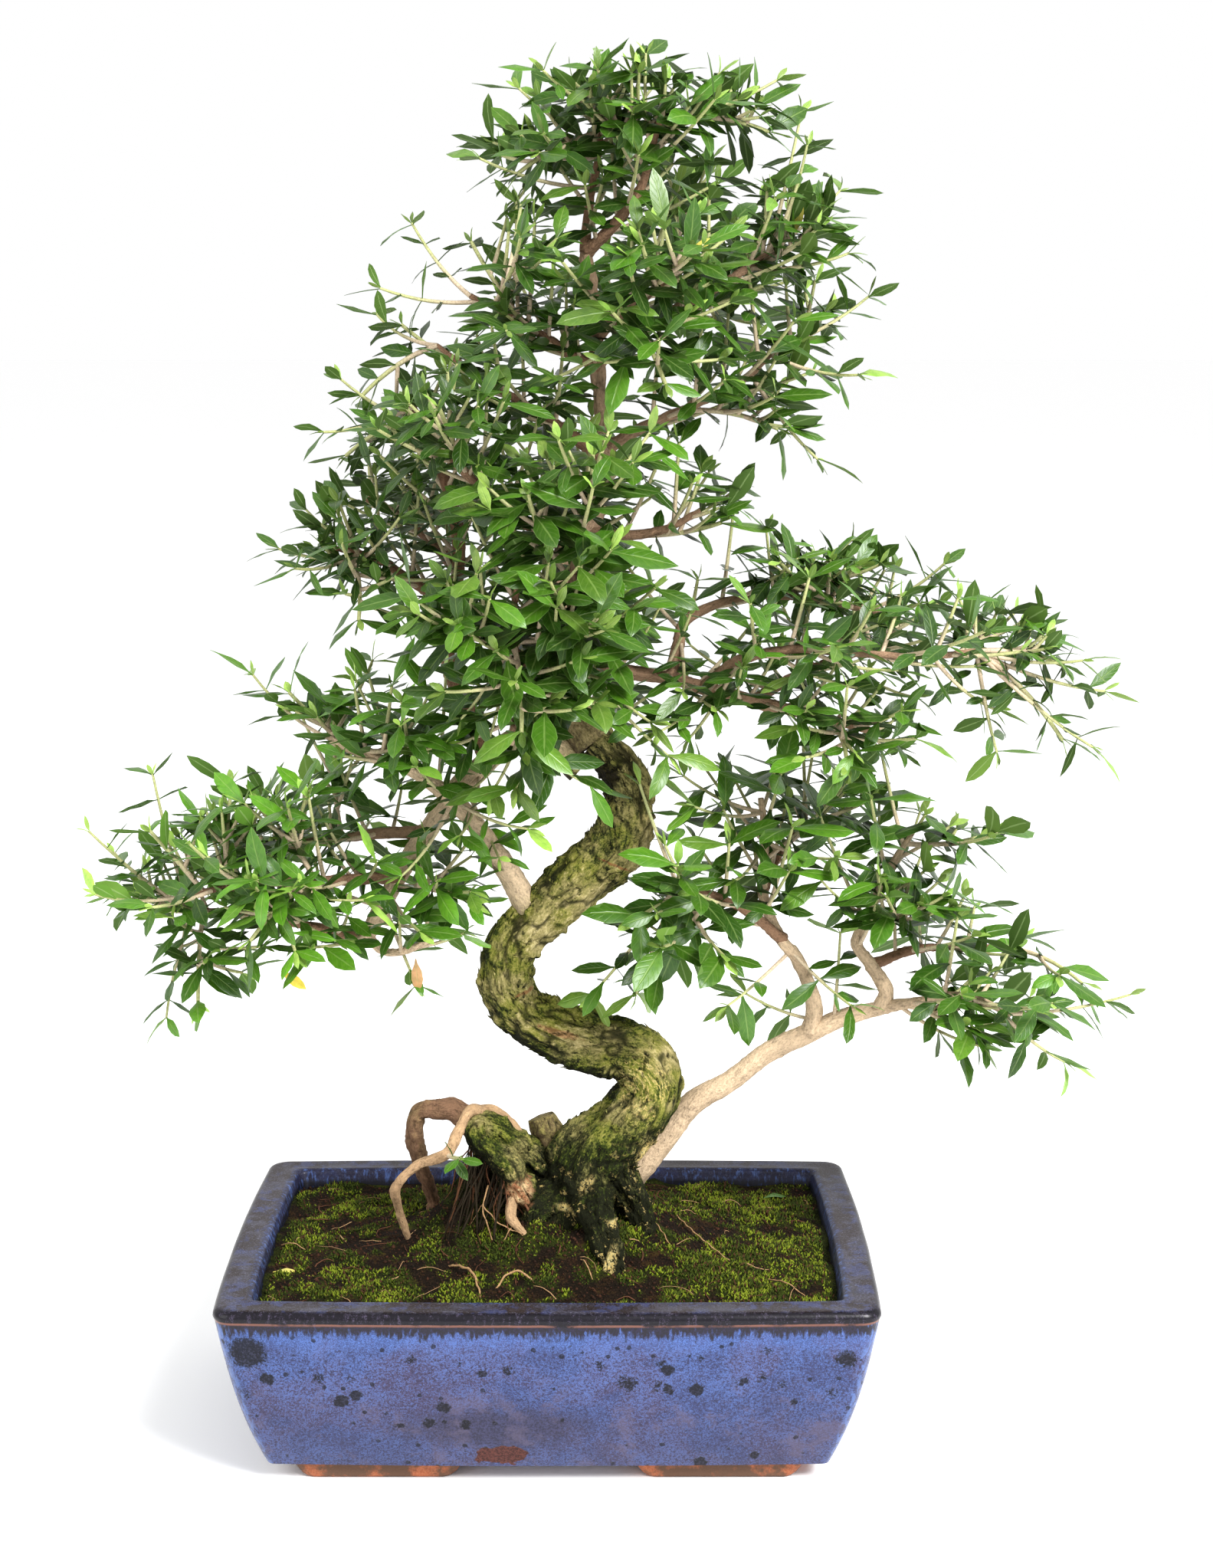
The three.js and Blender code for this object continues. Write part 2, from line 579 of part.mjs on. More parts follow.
function mainTwig(root, tip, seed, swing) {
  const reach = root.distanceTo(tip);
  const along = tip.clone().sub(root).normalize();
  const sideways = new THREE.Vector3().crossVectors(along, UP).normalize();
  const lift = tip.z > root.z ? -0.1 : 0.14;
  const knee = root.clone().lerp(tip, 0.5)
    .addScaledVector(UP, lift * reach)
    .addScaledVector(sideways, (0.24 * (chance(seed, 1) - 0.5) + swing) * reach);
  return bentStem(root, knee, tip, TWIG.baseRadius, TWIG.tipRadius);
}

// Side shoot k of a spray: it leaves the twig at a golden-angle turn and bends upwards
function sideShoot(twig, seed, k) {
  const t = SHOOT.first + SHOOT.spacing * k;
  const start = twig.curve.getPoint(t);
  const tangent = twig.curve.getTangent(t);
  const outward = aroundStem(tangent, GOLDEN_ANGLE * k + 2 * Math.PI * chance(seed, 2));
  const direction = tangent.clone().multiplyScalar(0.5)
    .addScaledVector(outward, 0.75)
    .addScaledVector(UP, 0.3)
    .normalize();
  const length = SHOOT.length * (0.75 + 0.5 * chance(seed, 3, k)) * (1.1 - 0.4 * t);
  const tip = start.clone().addScaledVector(direction, length);
  const knee = start.clone().lerp(tip, 0.5).addScaledVector(UP, -0.08 * length);
  return {
    ...bentStem(start, knee, tip, SHOOT.baseRadius, SHOOT.tipRadius),
    k,
    t,
    parentTangent: tangent,
  };
}

// Pair j of opposite leaves, counted from a stem's tip, each pair a quarter turn on from the last
function leafPair(stem, seed, k, j, leafLength, turn, scale) {
  const spacing = PAIR_SPACING * leafLength / LEAF.length;
  const t = 1 - (LEAF.neck + j * spacing) / stem.length;
  const tangent = stem.curve.getTangent(t);
  const angle = Math.PI / 2 * j + Math.PI * chance(seed, 4, k) + turn;
  const leaves = [0, 1].map((side) => {
    const direction = tangent.clone().multiplyScalar(Math.cos(LEAF.spread))
      .addScaledVector(aroundStem(tangent, angle + Math.PI * side), Math.sin(LEAF.spread));
    const face = across(tangent.clone().multiplyScalar(0.6).addScaledVector(UP, 0.4), direction);
    const length = leafLength * scale * (0.85 + 0.3 * chance(seed, 5 + side, k * 10 + j));
    return { direction, face, length };
  });
  return { t, at: stem.curve.getPoint(t), outward: aroundStem(tangent, angle), leaves };
}

// Rings of a leaf from its base outwards, each the two edges of the blade and the keel of its rib
function leafRings(at, { direction, face, length }, margin = 0) {
  const side = new THREE.Vector3().crossVectors(face, direction);
  const halfWidth = length * LEAF.slimness / 2;
  const place = (t, sideways, up) => at.clone()
    .addScaledVector(direction, t * (length + margin))
    .addScaledVector(side, sideways)
    .addScaledVector(face, up - LEAF.droop * length * t * t)
    .toArray();
  const rings = LEAF.outline.map(([t, breadth]) => {
    const reach = halfWidth * breadth + margin;
    return [place(t, reach, margin), place(t, -reach, margin), place(t, 0, -LEAF.thickness - margin)];
  });
  return [...rings, [place(1, 0, 0)]];
}

// A leaf by itself, cut off short of its stem
function leafSolid(at, leaf, cut, margin = 0) {
  const rings = leafRings(at, leaf, margin);
  const base = rings[0].map((point) => at.clone().lerp(new THREE.Vector3(...point), cut).toArray());
  return toSolid(loft([base, ...rings]));
}

// What is already placed, so that a new stem or leaf can be kept clear of it
const placed = [];

function place(owner, solid) {
  placed.push({ owner, solid, box: solid.boundingBox() });
}

function boxesMeet(a, b) {
  return [0, 1, 2].every((axis) => a.min[axis] <= b.max[axis] && b.min[axis] <= a.max[axis]);
}

function isClear(probe, counts) {
  const box = probe.boundingBox();
  return placed.every((other) => !counts(other.owner) || !boxesMeet(box, other.box)
    || probe.intersect(other.solid).isEmpty());
}

// The twig's visible root: it moves out along the twig until it is clear of the wood
function clearRoot(name, twig) {
  for (let from = 0.01; from < 0.5; from += 0.006) {
    if (isClear(stemProbe(twig, from, 4, STEM_MARGIN), (owner) => owner !== name)) {
      return from;
    }
  }
  return null;
}

// The first twig that finds a clear way from one of the roots to the tip
function clearTwig(name, seed, limbs, tip, shortest) {
  for (const root of rootsFor(limbs, tip, shortest)) {
    for (const swing of SWINGS) {
      const twig = mainTwig(root, tip, seed, swing);
      const from = clearRoot(name, twig);
      if (from !== null) {
        return { ...twig, from };
      }
    }
  }
  throw new Error(`${name} finds no clear way`);
}

// Each spray keeps one side shoot of each of these sets, the first that is clear
const SHOOT_SETS = [[1, 0], [3, 4]];

function growStems(name, seed, limbs, tipPoint, leafLength, shortest, shootSets) {
  const twig = clearTwig(name, seed, limbs, new THREE.Vector3(...tipPoint), shortest);
  place(name, stemProbe(twig, twig.from, 4, 0));
  const shoots = [];
  for (const set of shootSets) {
    const shoot = set.map((k) => sideShoot(twig, seed, k)).find((candidate) => (
      isClear(stemProbe(candidate, 0, 2, STEM_MARGIN), (owner) => owner !== name)
      && isClear(stemProbe(candidate, 0.2, 2, STEM_MARGIN), (owner) => owner === name)
    ));
    if (shoot) {
      place(name, stemProbe(shoot, 0.1, 2, 0));
      shoots.push(shoot);
    }
  }
  return { name, seed, twig, shoots, leafLength };
}

// A pair is turned about its stem, and then made smaller, until both its leaves are clear
function clearPair({ name, seed, leafLength }, stem, k, j) {
  for (const scale of [1, 0.8, 0.64]) {
    for (const turn of [0, 0.35, -0.35, 0.7, -0.7]) {
      const pair = leafPair(stem, seed, k, j, leafLength, turn, scale);
      const clear = pair.leaves.every((leaf) => (
        isClear(leafSolid(pair.at, leaf, 0.1, LEAF_MARGIN), (owner) => owner !== name)
        && isClear(leafSolid(pair.at, leaf, 0.4, LEAF_MARGIN), (owner) => owner === name)
      ));
      if (clear) {
        pair.leaves.forEach((leaf) => place(name, leafSolid(pair.at, leaf, 0.3)));
        return pair;
      }
    }
  }
  return null;
}

function growLeaves(spray) {
  spray.twig.pairs = [1, 0].map((j) => clearPair(spray, spray.twig, 0, j)).filter(Boolean);
  for (const shoot of spray.shoots) {
    shoot.pairs = [clearPair(spray, shoot, shoot.k + 1, 0)].filter(Boolean);
  }
}

// A spray's body is one mesh whose leaves and shoots grow out of the four-sided stems' faces
class SprayBody {
  constructor() {
    this.points = [];
    this.triangles = [];
  }

  addRing(ring) {
    return ring.map((point) => this.points.push(point) - 1);
  }

  // Joins a ring of four to one of four, leaving out the faces that something grows from
  joinFour(low, high, open = []) {
    for (let i = 0; i < 4; i += 1) {
      if (!open.includes(i)) {
        const next = (i + 1) % 4;
        this.triangles.push([low[i], low[next], high[next]], [low[i], high[next], high[i]]);
      }
    }
  }

  cap([a, b, c, d], outwards) {
    this.triangles.push(...(outwards ? [[a, b, c], [a, c, d]] : [[a, c, b], [a, d, c]]));
  }

  addLeaf([highLeft, highRight, lowRight, lowLeft], at, leaf) {
    const rings = leafRings(at, leaf).map((ring) => this.addRing(ring));
    const [[left, right, keel], far, [tip]] = rings;
    this.triangles.push(
      [highLeft, highRight, right], [highLeft, right, left], [highRight, lowRight, right],
      [lowRight, keel, right], [lowRight, lowLeft, keel], [lowLeft, left, keel], [lowLeft, highLeft, left],
    );
    [left, right, keel].forEach((low, i) => {
      const next = (i + 1) % 3;
      const lowNext = rings[0][next];
      this.triangles.push([low, lowNext, far[next]], [low, far[next], far[i]], [far[i], far[next], tip]);
    });
  }

  // Grows a stem from a ring, or from a capped root; each node opens a face, or two opposite ones
  addStem(stem, base, from, [u, v], nodes) {
    let axes = [u, v];
    let turn = 0;
    const ringAt = (t) => {
      const tangent = stem.curve.getTangent(t);
      const first = across(axes[0], tangent);
      axes = [first, new THREE.Vector3().crossVectors(tangent, first)];
      const at = stem.curve.getPoint(t);
      return (angle) => this.addRing([0, 1, 2, 3].map((corner) => {
        const around = angle + (corner + 0.5) * Math.PI / 2;
        return at.clone()
          .addScaledVector(axes[0], stemRadius(stem, t) * Math.cos(around))
          .addScaledVector(axes[1], stemRadius(stem, t) * Math.sin(around))
          .toArray();
      }));
    };
    let ring = base;
    if (!ring) {
      ring = ringAt(from)(turn);
      this.cap(ring, false);
    }
    for (const { t, halfHeight, outward, opposite, grow } of nodes) {
      const rise = halfHeight / stem.length;
      const lowRing = ringAt(t - rise);
      const azimuth = Math.atan2(outward.dot(axes[1]), outward.dot(axes[0]));
      turn = azimuth + Math.round((turn - azimuth) / (Math.PI / 2)) * Math.PI / 2;
      const low = lowRing(turn);
      this.joinFour(ring, low);
      const high = ringAt(Math.min(t + rise, 1))(turn);
      const face = (Math.round((azimuth - turn) / (Math.PI / 2)) + 7) % 4;
      const faces = opposite ? [face, (face + 2) % 4] : [face];
      this.joinFour(low, high, faces);
      faces.forEach((m, index) => {
        const next = (m + 1) % 4;
        grow([high[next], high[m], low[m], low[next]], index);
      });
      ring = high;
    }
    this.cap(ring, true);
  }
}

function pairNodes(body, pairs) {
  return pairs.map((pair) => ({
    t: pair.t,
    halfHeight: LEAF.neck,
    outward: pair.outward,
    opposite: true,
    grow: (face, index) => body.addLeaf(face, pair.at, pair.leaves[index]),
  }));
}

function buildSpray({ twig, shoots }) {
  const body = new SprayBody();
  const shootNodes = shoots.map((shoot) => {
    const direction = shoot.curve.getTangent(0);
    const high = across(shoot.parentTangent, direction);
    const side = new THREE.Vector3().crossVectors(high, direction);
    return {
      t: shoot.t,
      halfHeight: SHOOT.baseRadius,
      outward: across(direction, shoot.parentTangent),
      opposite: false,
      grow: (face) => body.addStem(shoot, face, 0, [side, high], pairNodes(body, shoot.pairs)),
    };
  });
  const nodes = [...shootNodes, ...pairNodes(body, twig.pairs)].sort((a, b) => a.t - b.t);
  const tangent = twig.curve.getTangent(twig.from);
  const high = aroundStem(tangent, 0);
  body.addStem(twig, null, twig.from, [high, new THREE.Vector3().crossVectors(tangent, high)], nodes);
  return toSolid(surface(body.points, body.triangles));
}

// A fallen leaf lowered onto the soil, with the same small gap as any other seat
function fallenLeaf(owner, x, y, heading, tilt, length) {
  const level = Math.cos(tilt);
  const direction = new THREE.Vector3(Math.cos(heading) * level, Math.sin(heading) * level, Math.sin(tilt));
  const leaf = { direction, face: across(UP, direction), length };
  const at = new THREE.Vector3(x, y, soilHeight(x, y) + 8);
  while (isClear(leafSolid(at, leaf, 0.15, SEAT_GAP), () => true)) {
    at.z -= 0.1;
  }
  at.z += 0.1;
  const solid = leafSolid(at, leaf, 0.15);
  place(owner, solid);
  return solid;
}

// Assembly
const tree = buildTree();
const pot = buildPot();
const soil = largest(buildSoil().subtract(woodHoles()));
place('tree', tree);
place('pot', pot);
place('soil', soil);

const fallenYellow = fallenLeaf('fallen_leaf_yellow', -113, -34, 0.3, 0.02, 11);
const fallenGreen = fallenLeaf('fallen_leaf_green', 92, 54, 0.7, 0.35, 15);

const sprays = [];
for (const [pad, { limbs, leafScale, tips }] of Object.entries(PADS)) {
  const sources = limbs.map((limb) => LIMBS[limb]);
  for (const [index, tip] of tips.entries()) {
    const name = `${pad}_spray_${index + 1}`;
    const leafLength = LEAF.length * leafScale;
    sprays.push(growStems(name, sprays.length + 1, sources, tip, leafLength, SHORTEST_TWIG, SHOOT_SETS));
  }
}
const sproutRoot = [ROOTS[ROOT_SPROUT.limb]];
sprays.push(growStems('root_sprout', 99, sproutRoot, ROOT_SPROUT.tip, ROOT_SPROUT.leafLength, 8, []));
sprays.forEach(growLeaves);

const materials = {
  glaze: { color: COLOURS.glaze, roughness: 0.3, metalness: 0 },
  soil: { color: COLOURS.soil, roughness: 0.95, metalness: 0 },
  plastic: { color: COLOURS.plastic, roughness: 0.6, metalness: 0 },
  bark: { color: COLOURS.bark, roughness: 0.85, metalness: 0 },
  leaf: { color: COLOURS.leaf, roughness: 0.4, metalness: 0 },
  leafDark: { color: COLOURS.leafDark, roughness: 0.45, metalness: 0 },
  leafYellow: { color: COLOURS.leafYellow, roughness: 0.5, metalness: 0 },
};

const bonsai = new THREE.Group();

function addPart(name, solid, material, x = 0) {
  const mesh = new THREE.Mesh(toGeometry(solid), new THREE.MeshStandardMaterial(materials[material]));
  mesh.name = name;
  mesh.position.x = x;
  bonsai.add(mesh);
}

addPart('pot', pot, 'glaze');
addPart('soil', soil, 'soil');
addPart('drain_mesh_left', buildDrainMesh(), 'plastic', -DRAIN_OFFSET);
addPart('drain_mesh_right', buildDrainMesh(), 'plastic', DRAIN_OFFSET);
addPart('tree', tree, 'bark');
for (const spray of sprays) {
  addPart(spray.name, buildSpray(spray), 'leaf');
}
addPart('fallen_leaf_yellow', fallenYellow, 'leafYellow');
addPart('fallen_leaf_green', fallenGreen, 'leafDark');

// The middle of the footprint becomes the origin
const extent = new THREE.Box3().setFromObject(bonsai, true);
const middle = extent.getCenter(new THREE.Vector3());
bonsai.position.set(-middle.x, -middle.y, -extent.min.z);

export default bonsai;
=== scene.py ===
"""A potted serissa bonsai: glazed pot, mossy soil, an old twisting trunk and thousands of small leaves."""

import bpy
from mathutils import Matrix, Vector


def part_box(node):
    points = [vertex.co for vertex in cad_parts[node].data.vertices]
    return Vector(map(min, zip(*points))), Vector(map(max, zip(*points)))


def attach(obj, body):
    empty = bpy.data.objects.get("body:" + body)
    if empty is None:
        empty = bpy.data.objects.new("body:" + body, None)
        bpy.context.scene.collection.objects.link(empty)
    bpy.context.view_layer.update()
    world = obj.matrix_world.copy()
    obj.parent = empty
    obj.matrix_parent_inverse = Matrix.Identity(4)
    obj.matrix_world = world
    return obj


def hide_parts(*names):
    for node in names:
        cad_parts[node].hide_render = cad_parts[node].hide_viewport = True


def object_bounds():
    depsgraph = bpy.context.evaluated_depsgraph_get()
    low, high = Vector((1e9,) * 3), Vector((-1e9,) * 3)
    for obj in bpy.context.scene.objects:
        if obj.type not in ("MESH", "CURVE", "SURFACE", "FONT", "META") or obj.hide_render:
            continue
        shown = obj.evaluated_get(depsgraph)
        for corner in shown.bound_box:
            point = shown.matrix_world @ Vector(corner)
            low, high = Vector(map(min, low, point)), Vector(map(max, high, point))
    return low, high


bl_info = {
    "name": "Serissa Bonsai",
    "version": (1, 0, 0),
    "blender": (4, 5, 0),
    "location": "View3D > Sidebar > Bonsai",
    "description": "Builds a serissa bonsai with its pot, soil, moss, bark, foliage and studio",
    "category": "Add Mesh",
}

import math

import bpy
import numpy as np
from mathutils import Vector

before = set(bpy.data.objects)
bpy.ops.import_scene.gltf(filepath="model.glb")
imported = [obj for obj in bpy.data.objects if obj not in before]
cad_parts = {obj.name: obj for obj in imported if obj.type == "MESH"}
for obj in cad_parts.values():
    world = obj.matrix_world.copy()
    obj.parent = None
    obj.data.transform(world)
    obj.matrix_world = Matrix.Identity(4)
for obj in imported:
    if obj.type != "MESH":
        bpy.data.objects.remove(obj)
CAD_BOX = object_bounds()

# Places are written in millimetres from the middle of the pot, at the level that its feet stand on
MM = 0.001
POT_MIDDLE = np.mean([np.array(corner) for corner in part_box("pot")], axis=0) * (1, 1, 0)
UP = np.array([0.0, 0.0, 1.0])
GOLDEN_ANGLE = 2.39996

# Driving sizes of the pot and the soil, in millimetres
POT_WIDTH = 260
POT_DEPTH = 182
POT_HEIGHT = 78.4
RIM_WIDTH = 14.6
FOOT_HEIGHT = 7.8
SIDE_TAPER = 18.4
SIDE_BOW = 2
CORNER_RADIUS = 8
FLOOR_TOP = 17
INNER_TAPER = 10
DRAIN_RADIUS = 8
DRAIN_OFFSET = 55
FOOT = {"length": 72, "end_slope": 6, "width": 24, "from_side": 26, "from_front": 22.4, "corner": 5}
# A foot's levels from the ground up: height, and how far its outline is pulled in
FOOT_LEVELS = ((0, 1.4), (0.5, 0.4), (1.6, 0), (FOOT_HEIGHT - 1, 0), (FOOT_HEIGHT + 1, 0))
SOIL_LEVEL = 71.5
MOUND = {"height": 17, "middle": (2, 0), "spread": (62, 50)}
# Soil heaped between the surface roots: middle, height and radius
HEAPS = [((-36, 0), 19, 13), ((-20, 4), 16, 12), ((-8, -24), 5, 9), ((20, -26), 5, 12)]
# Hollows where little moss grows: middle and radius
HOLLOWS = [
    ((45, -52), 17), ((-84, 20), 16), ((20, -58), 10), ((-40, -46), 9), ((90, -30), 10), ((-36, -4), 13),
]
# Pale rootlets that lie on the soil or hang from the roots, through points [x, y, z, radius]
ROOTLETS = [
    [
        [-42, -36, 76, 0.8], [-38, -41, 78.5, 1.1], [-34, -46, 79.5, 1.2], [-30, -52, 79, 1.1],
        [-26, -66, 73, 0.8],
    ],
    [[-22, -60, 74, 0.8], [-17, -53, 79, 1], [-11, -52, 80, 1], [-3, -57, 75, 0.8]],
    [[-25.7, -17, 104, 0.7], [-27.8, -20, 95, 0.6], [-25.9, -22, 89, 0.6], [-22.3, -27, 79, 0.5]],
    [[-27.5, -20, 96, 0.6], [-20.8, -24, 90, 0.6], [-11.9, -28, 87, 0.5], [-6, -31, 82, 0.5]],
    [[-15.7, -26, 89, 0.5], [-18.8, -27, 84.4, 0.4], [-20.7, -28, 80, 0.4]],
    [[12, -39, 81, 0.5], [15, -46, 81, 0.45], [18, -52, 75, 0.4]],
    [[41, 0, 84, 0.6], [45, -10, 83, 0.6], [50, -22, 78.5, 0.5]],
    [[52, 12, 81, 0.6], [61, -8, 79, 0.6], [74, -27, 74.5, 0.5]],
    [[88, -38, 71.5, 0.5], [95, -48, 74, 0.5], [102, -56, 71.5, 0.4]],
    [[-114, 0, 71.5, 0.5], [-108, -4, 74, 0.5], [-100, -9, 71.5, 0.4]],
]

# The trunk, the limbs and the roots follow smooth curves through points [x, y, z, radius]
TRUNK = [
    [7, 0, 62, 18.5], [8, 0, 80, 19.5], [13, 0, 98, 18.5], [18, -2, 114, 17.5], [30, -5, 128, 15.5],
    [40, -6, 140, 14], [39, -4, 151, 13.3], [30, 0, 157, 12.4], [17, 2, 159, 11.8], [0, 4, 164, 11.6],
    [-13, 6, 173, 11.8], [-18, 6, 186, 12], [-15, 6, 200, 11.8], [-6, 4, 211, 11.6], [5, 2, 222, 11.8],
    [18, 0, 234, 12.2], [27, -3, 245, 12.4], [31, -4, 259, 11], [31, -4, 268, 9.8], [27, -2, 276, 8.8],
    [18, 0, 285, 8.4], [10, 3, 297, 7.2], [6, 4, 313, 6], [3, 4, 332, 5.4], [2, 4, 347, 5.2],
    [7, 3, 362, 4.6], [15, 2, 371, 4.2], [20, 1, 383, 3.8], [22, 0, 399, 3.4], [21, -1, 417, 3.2],
    [19, -2, 444, 3], [17, -1, 463, 3], [15, 0, 480, 2.6],
]
TRUNK_FORK = 20
LIMBS = {
    "leader": [[15, 0, 480, 2.4], [27, -6, 491, 2], [37, -12, 506, 1.7], [43, -16, 528, 1.3]],
    "top_left": [[15, 0, 480, 2.2], [16, 4, 497, 1.7], [20, 6, 518, 1.4], [21, 4, 534, 1.1]],
    "crown_right": [[20, -2, 438, 2.4], [40, -12, 453, 2], [64, -16, 465, 1.7], [85, -14, 479, 1.3]],
    "crown_low": [
        [23, 0, 404, 2.4], [37, -8, 412, 2.1], [57, -12, 421, 1.8], [75, -12, 430, 1.4], [91, -8, 444, 1.1],
    ],
    "crown_back": [[18, -1, 453, 2.4], [32, 24, 459, 2], [51, 42, 472, 1.6], [57, 54, 487, 1.2]],
    "crown_left": [[20, -2, 435, 2.2], [4, -6, 444, 1.9], [-13, -8, 455, 1.6], [-30, -8, 463, 1.2]],
    "crown_front": [[19, -2, 447, 2.2], [26, -22, 453, 1.8], [37, -40, 462, 1.5], [45, -50, 467, 1.2]],
    "riser": [
        [-24, 0, 279, 4], [-33, 4, 297, 3.8], [-41, 8, 320, 3.6], [-40, 10, 336, 3.3], [-37, 10, 354, 2.9],
        [-37, 8, 371, 2.6], [-41, 4, 390, 2.2], [-47, 0, 407, 1.8], [-53, 0, 420, 1.4],
    ],
    "upper_left_front": [
        [15, 2, 371, 2.6], [-5, -12, 373, 2.3], [-21, -26, 386, 1.9], [-33, -38, 398, 1.6],
        [-44, -44, 407, 1.3],
    ],
    "upper_left_high": [
        [22, 0, 399, 2.4], [6, -8, 412, 2.1], [-10, -12, 422, 1.8], [-28, -12, 433, 1.5], [-43, -8, 444, 1.2],
    ],
    "upper_left_back": [[-37, 10, 354, 2.4], [-50, 30, 365, 2], [-64, 48, 374, 1.6], [-77, 56, 380, 1.3]],
    "upper_left_low": [[-39, 9, 340, 2.4], [-54, 4, 350, 2], [-69, 2, 360, 1.6], [-85, 2, 364, 1.3]],
    "first_left": [
        [-7, 4, 209, 5], [-12, 0, 223, 4.8], [-19, -6, 237, 4.6], [-26, -10, 248, 4.3], [-34, -14, 260, 3.8],
        [-44, -18, 270, 3.2], [-56, -22, 279, 2.7], [-72, -22, 284, 2.2], [-87, -18, 290, 1.6],
    ],
    "second_left": [
        [12, 0, 275, 5], [-1, 0, 286, 4.7], [-14, 0, 287, 4.5], [-24, 0, 279, 4.5], [-37, 2, 267, 4.6],
        [-50, 4, 248, 4], [-62, 4, 230, 3.6], [-76, 4, 204, 3.2],
    ],
    "left_back": [
        [-50, 4, 248, 2.8], [-69, 16, 245, 2.4], [-90, 30, 240, 2], [-111, 40, 236, 1.6],
        [-131, 44, 233, 1.2],
    ],
    "left_front": [
        [-62, 4, 230, 2.8], [-79, -14, 232, 2.4], [-100, -26, 234, 2], [-120, -30, 233, 1.6],
        [-142, -26, 229, 1.2],
    ],
    "left_end": [
        [-76, 4, 204, 2.6], [-91, 2, 207, 2.2], [-110, 4, 211, 1.8], [-129, 6, 214, 1.5], [-148, 6, 214, 1.1],
    ],
    "left_loop": [[-76, 4, 204, 2], [-67, 0, 198, 1.6], [-56, -4, 201, 1.5], [-47, -8, 207, 1.2]],
    "front_up": [
        [3, 4, 332, 2.6], [-3, -20, 325, 2.3], [-10, -40, 324, 2], [-13, -54, 336, 1.6], [-11, -60, 354, 1.3],
    ],
    "front_mid": [
        [6, 4, 313, 2.6], [13, -20, 319, 2.2], [11, -44, 334, 1.9], [10, -58, 356, 1.6], [13, -64, 377, 1.2],
    ],
    "front_low": [[9, 3, 299, 2.6], [-1, -18, 308, 2.2], [-9, -38, 305, 1.8], [-13, -50, 299, 1.4]],
    "centre_right": [[15, 2, 371, 2.4], [30, -8, 370, 2.1], [46, -14, 373, 1.7], [60, -14, 380, 1.3]],
    "right_upper": [
        [9, 4, 316, 4], [27, -2, 315, 3.2], [48, -6, 313, 2.9], [62, -8, 309, 2.8], [87, -12, 303, 2.5],
        [109, -14, 298, 2.1], [129, -16, 293, 1.5],
    ],
    "right_riser": [
        [48, -6, 313, 2.6], [52, 2, 324, 2.4], [55, 8, 334, 2.2], [69, 12, 341, 2], [89, 14, 344, 1.7],
        [113, 14, 341, 1.4], [134, 10, 337, 1.1],
    ],
    "right_front": [
        [62, -8, 309, 2.6], [75, -22, 322, 2.3], [96, -34, 328, 2], [119, -38, 327, 1.6],
        [145, -34, 325, 1.3], [168, -26, 326, 1.1],
    ],
    "right_back": [[81, -11, 304, 2.4], [98, 12, 310, 2.1], [118, 34, 315, 1.7], [142, 48, 318, 1.3]],
    "low_right": [
        [26, 0, 94, 6.5], [39, 0, 110, 6.2], [46, 0, 118, 5.6], [59, 0, 134, 5], [75, 0, 144, 4.7],
        [90, 0, 156, 4.4], [107, 0, 164, 4], [120, 0, 170, 3.5], [136, -2, 175, 3.1], [151, -6, 179, 2.2],
        [168, -12, 183, 1.7], [188, -14, 176, 1.2],
    ],
    "low_right_inner": [
        [107, 0, 164, 3.4], [109, 0, 174, 3.2], [107, 0, 183, 3], [101, 0, 196, 2.8], [94, 0, 205, 2.6],
        [87, 2, 223, 2.1], [88, 4, 244, 1.7], [86, 4, 262, 1.3],
    ],
    "low_right_outer": [
        [136, -2, 175, 3], [138, -2, 183, 2.9], [132, 0, 193, 2.7], [126, 2, 202, 2.5], [131, 4, 215, 2],
        [140, 4, 234, 1.6], [148, 2, 248, 1.2],
    ],
    "mid_right_front": [[95, 0, 204, 2.2], [80, -16, 219, 1.9], [64, -26, 229, 1.6], [50, -30, 232, 1.2]],
    "mid_right_back": [[87, 2, 223, 2], [96, 24, 236, 1.7], [112, 40, 246, 1.3]],
    "low_right_back": [[132, 0, 193, 2.2], [152, 14, 196, 1.9], [174, 22, 195, 1.5], [193, 22, 195, 1.1]],
    "back_low": [[18, 0, 285, 2.8], [16, 30, 293, 2.4], [10, 52, 303, 2], [0, 66, 318, 1.5]],
    "back_high": [[7, 3, 362, 2.4], [13, 28, 370, 2], [16, 50, 384, 1.6], [13, 64, 399, 1.2]],
}
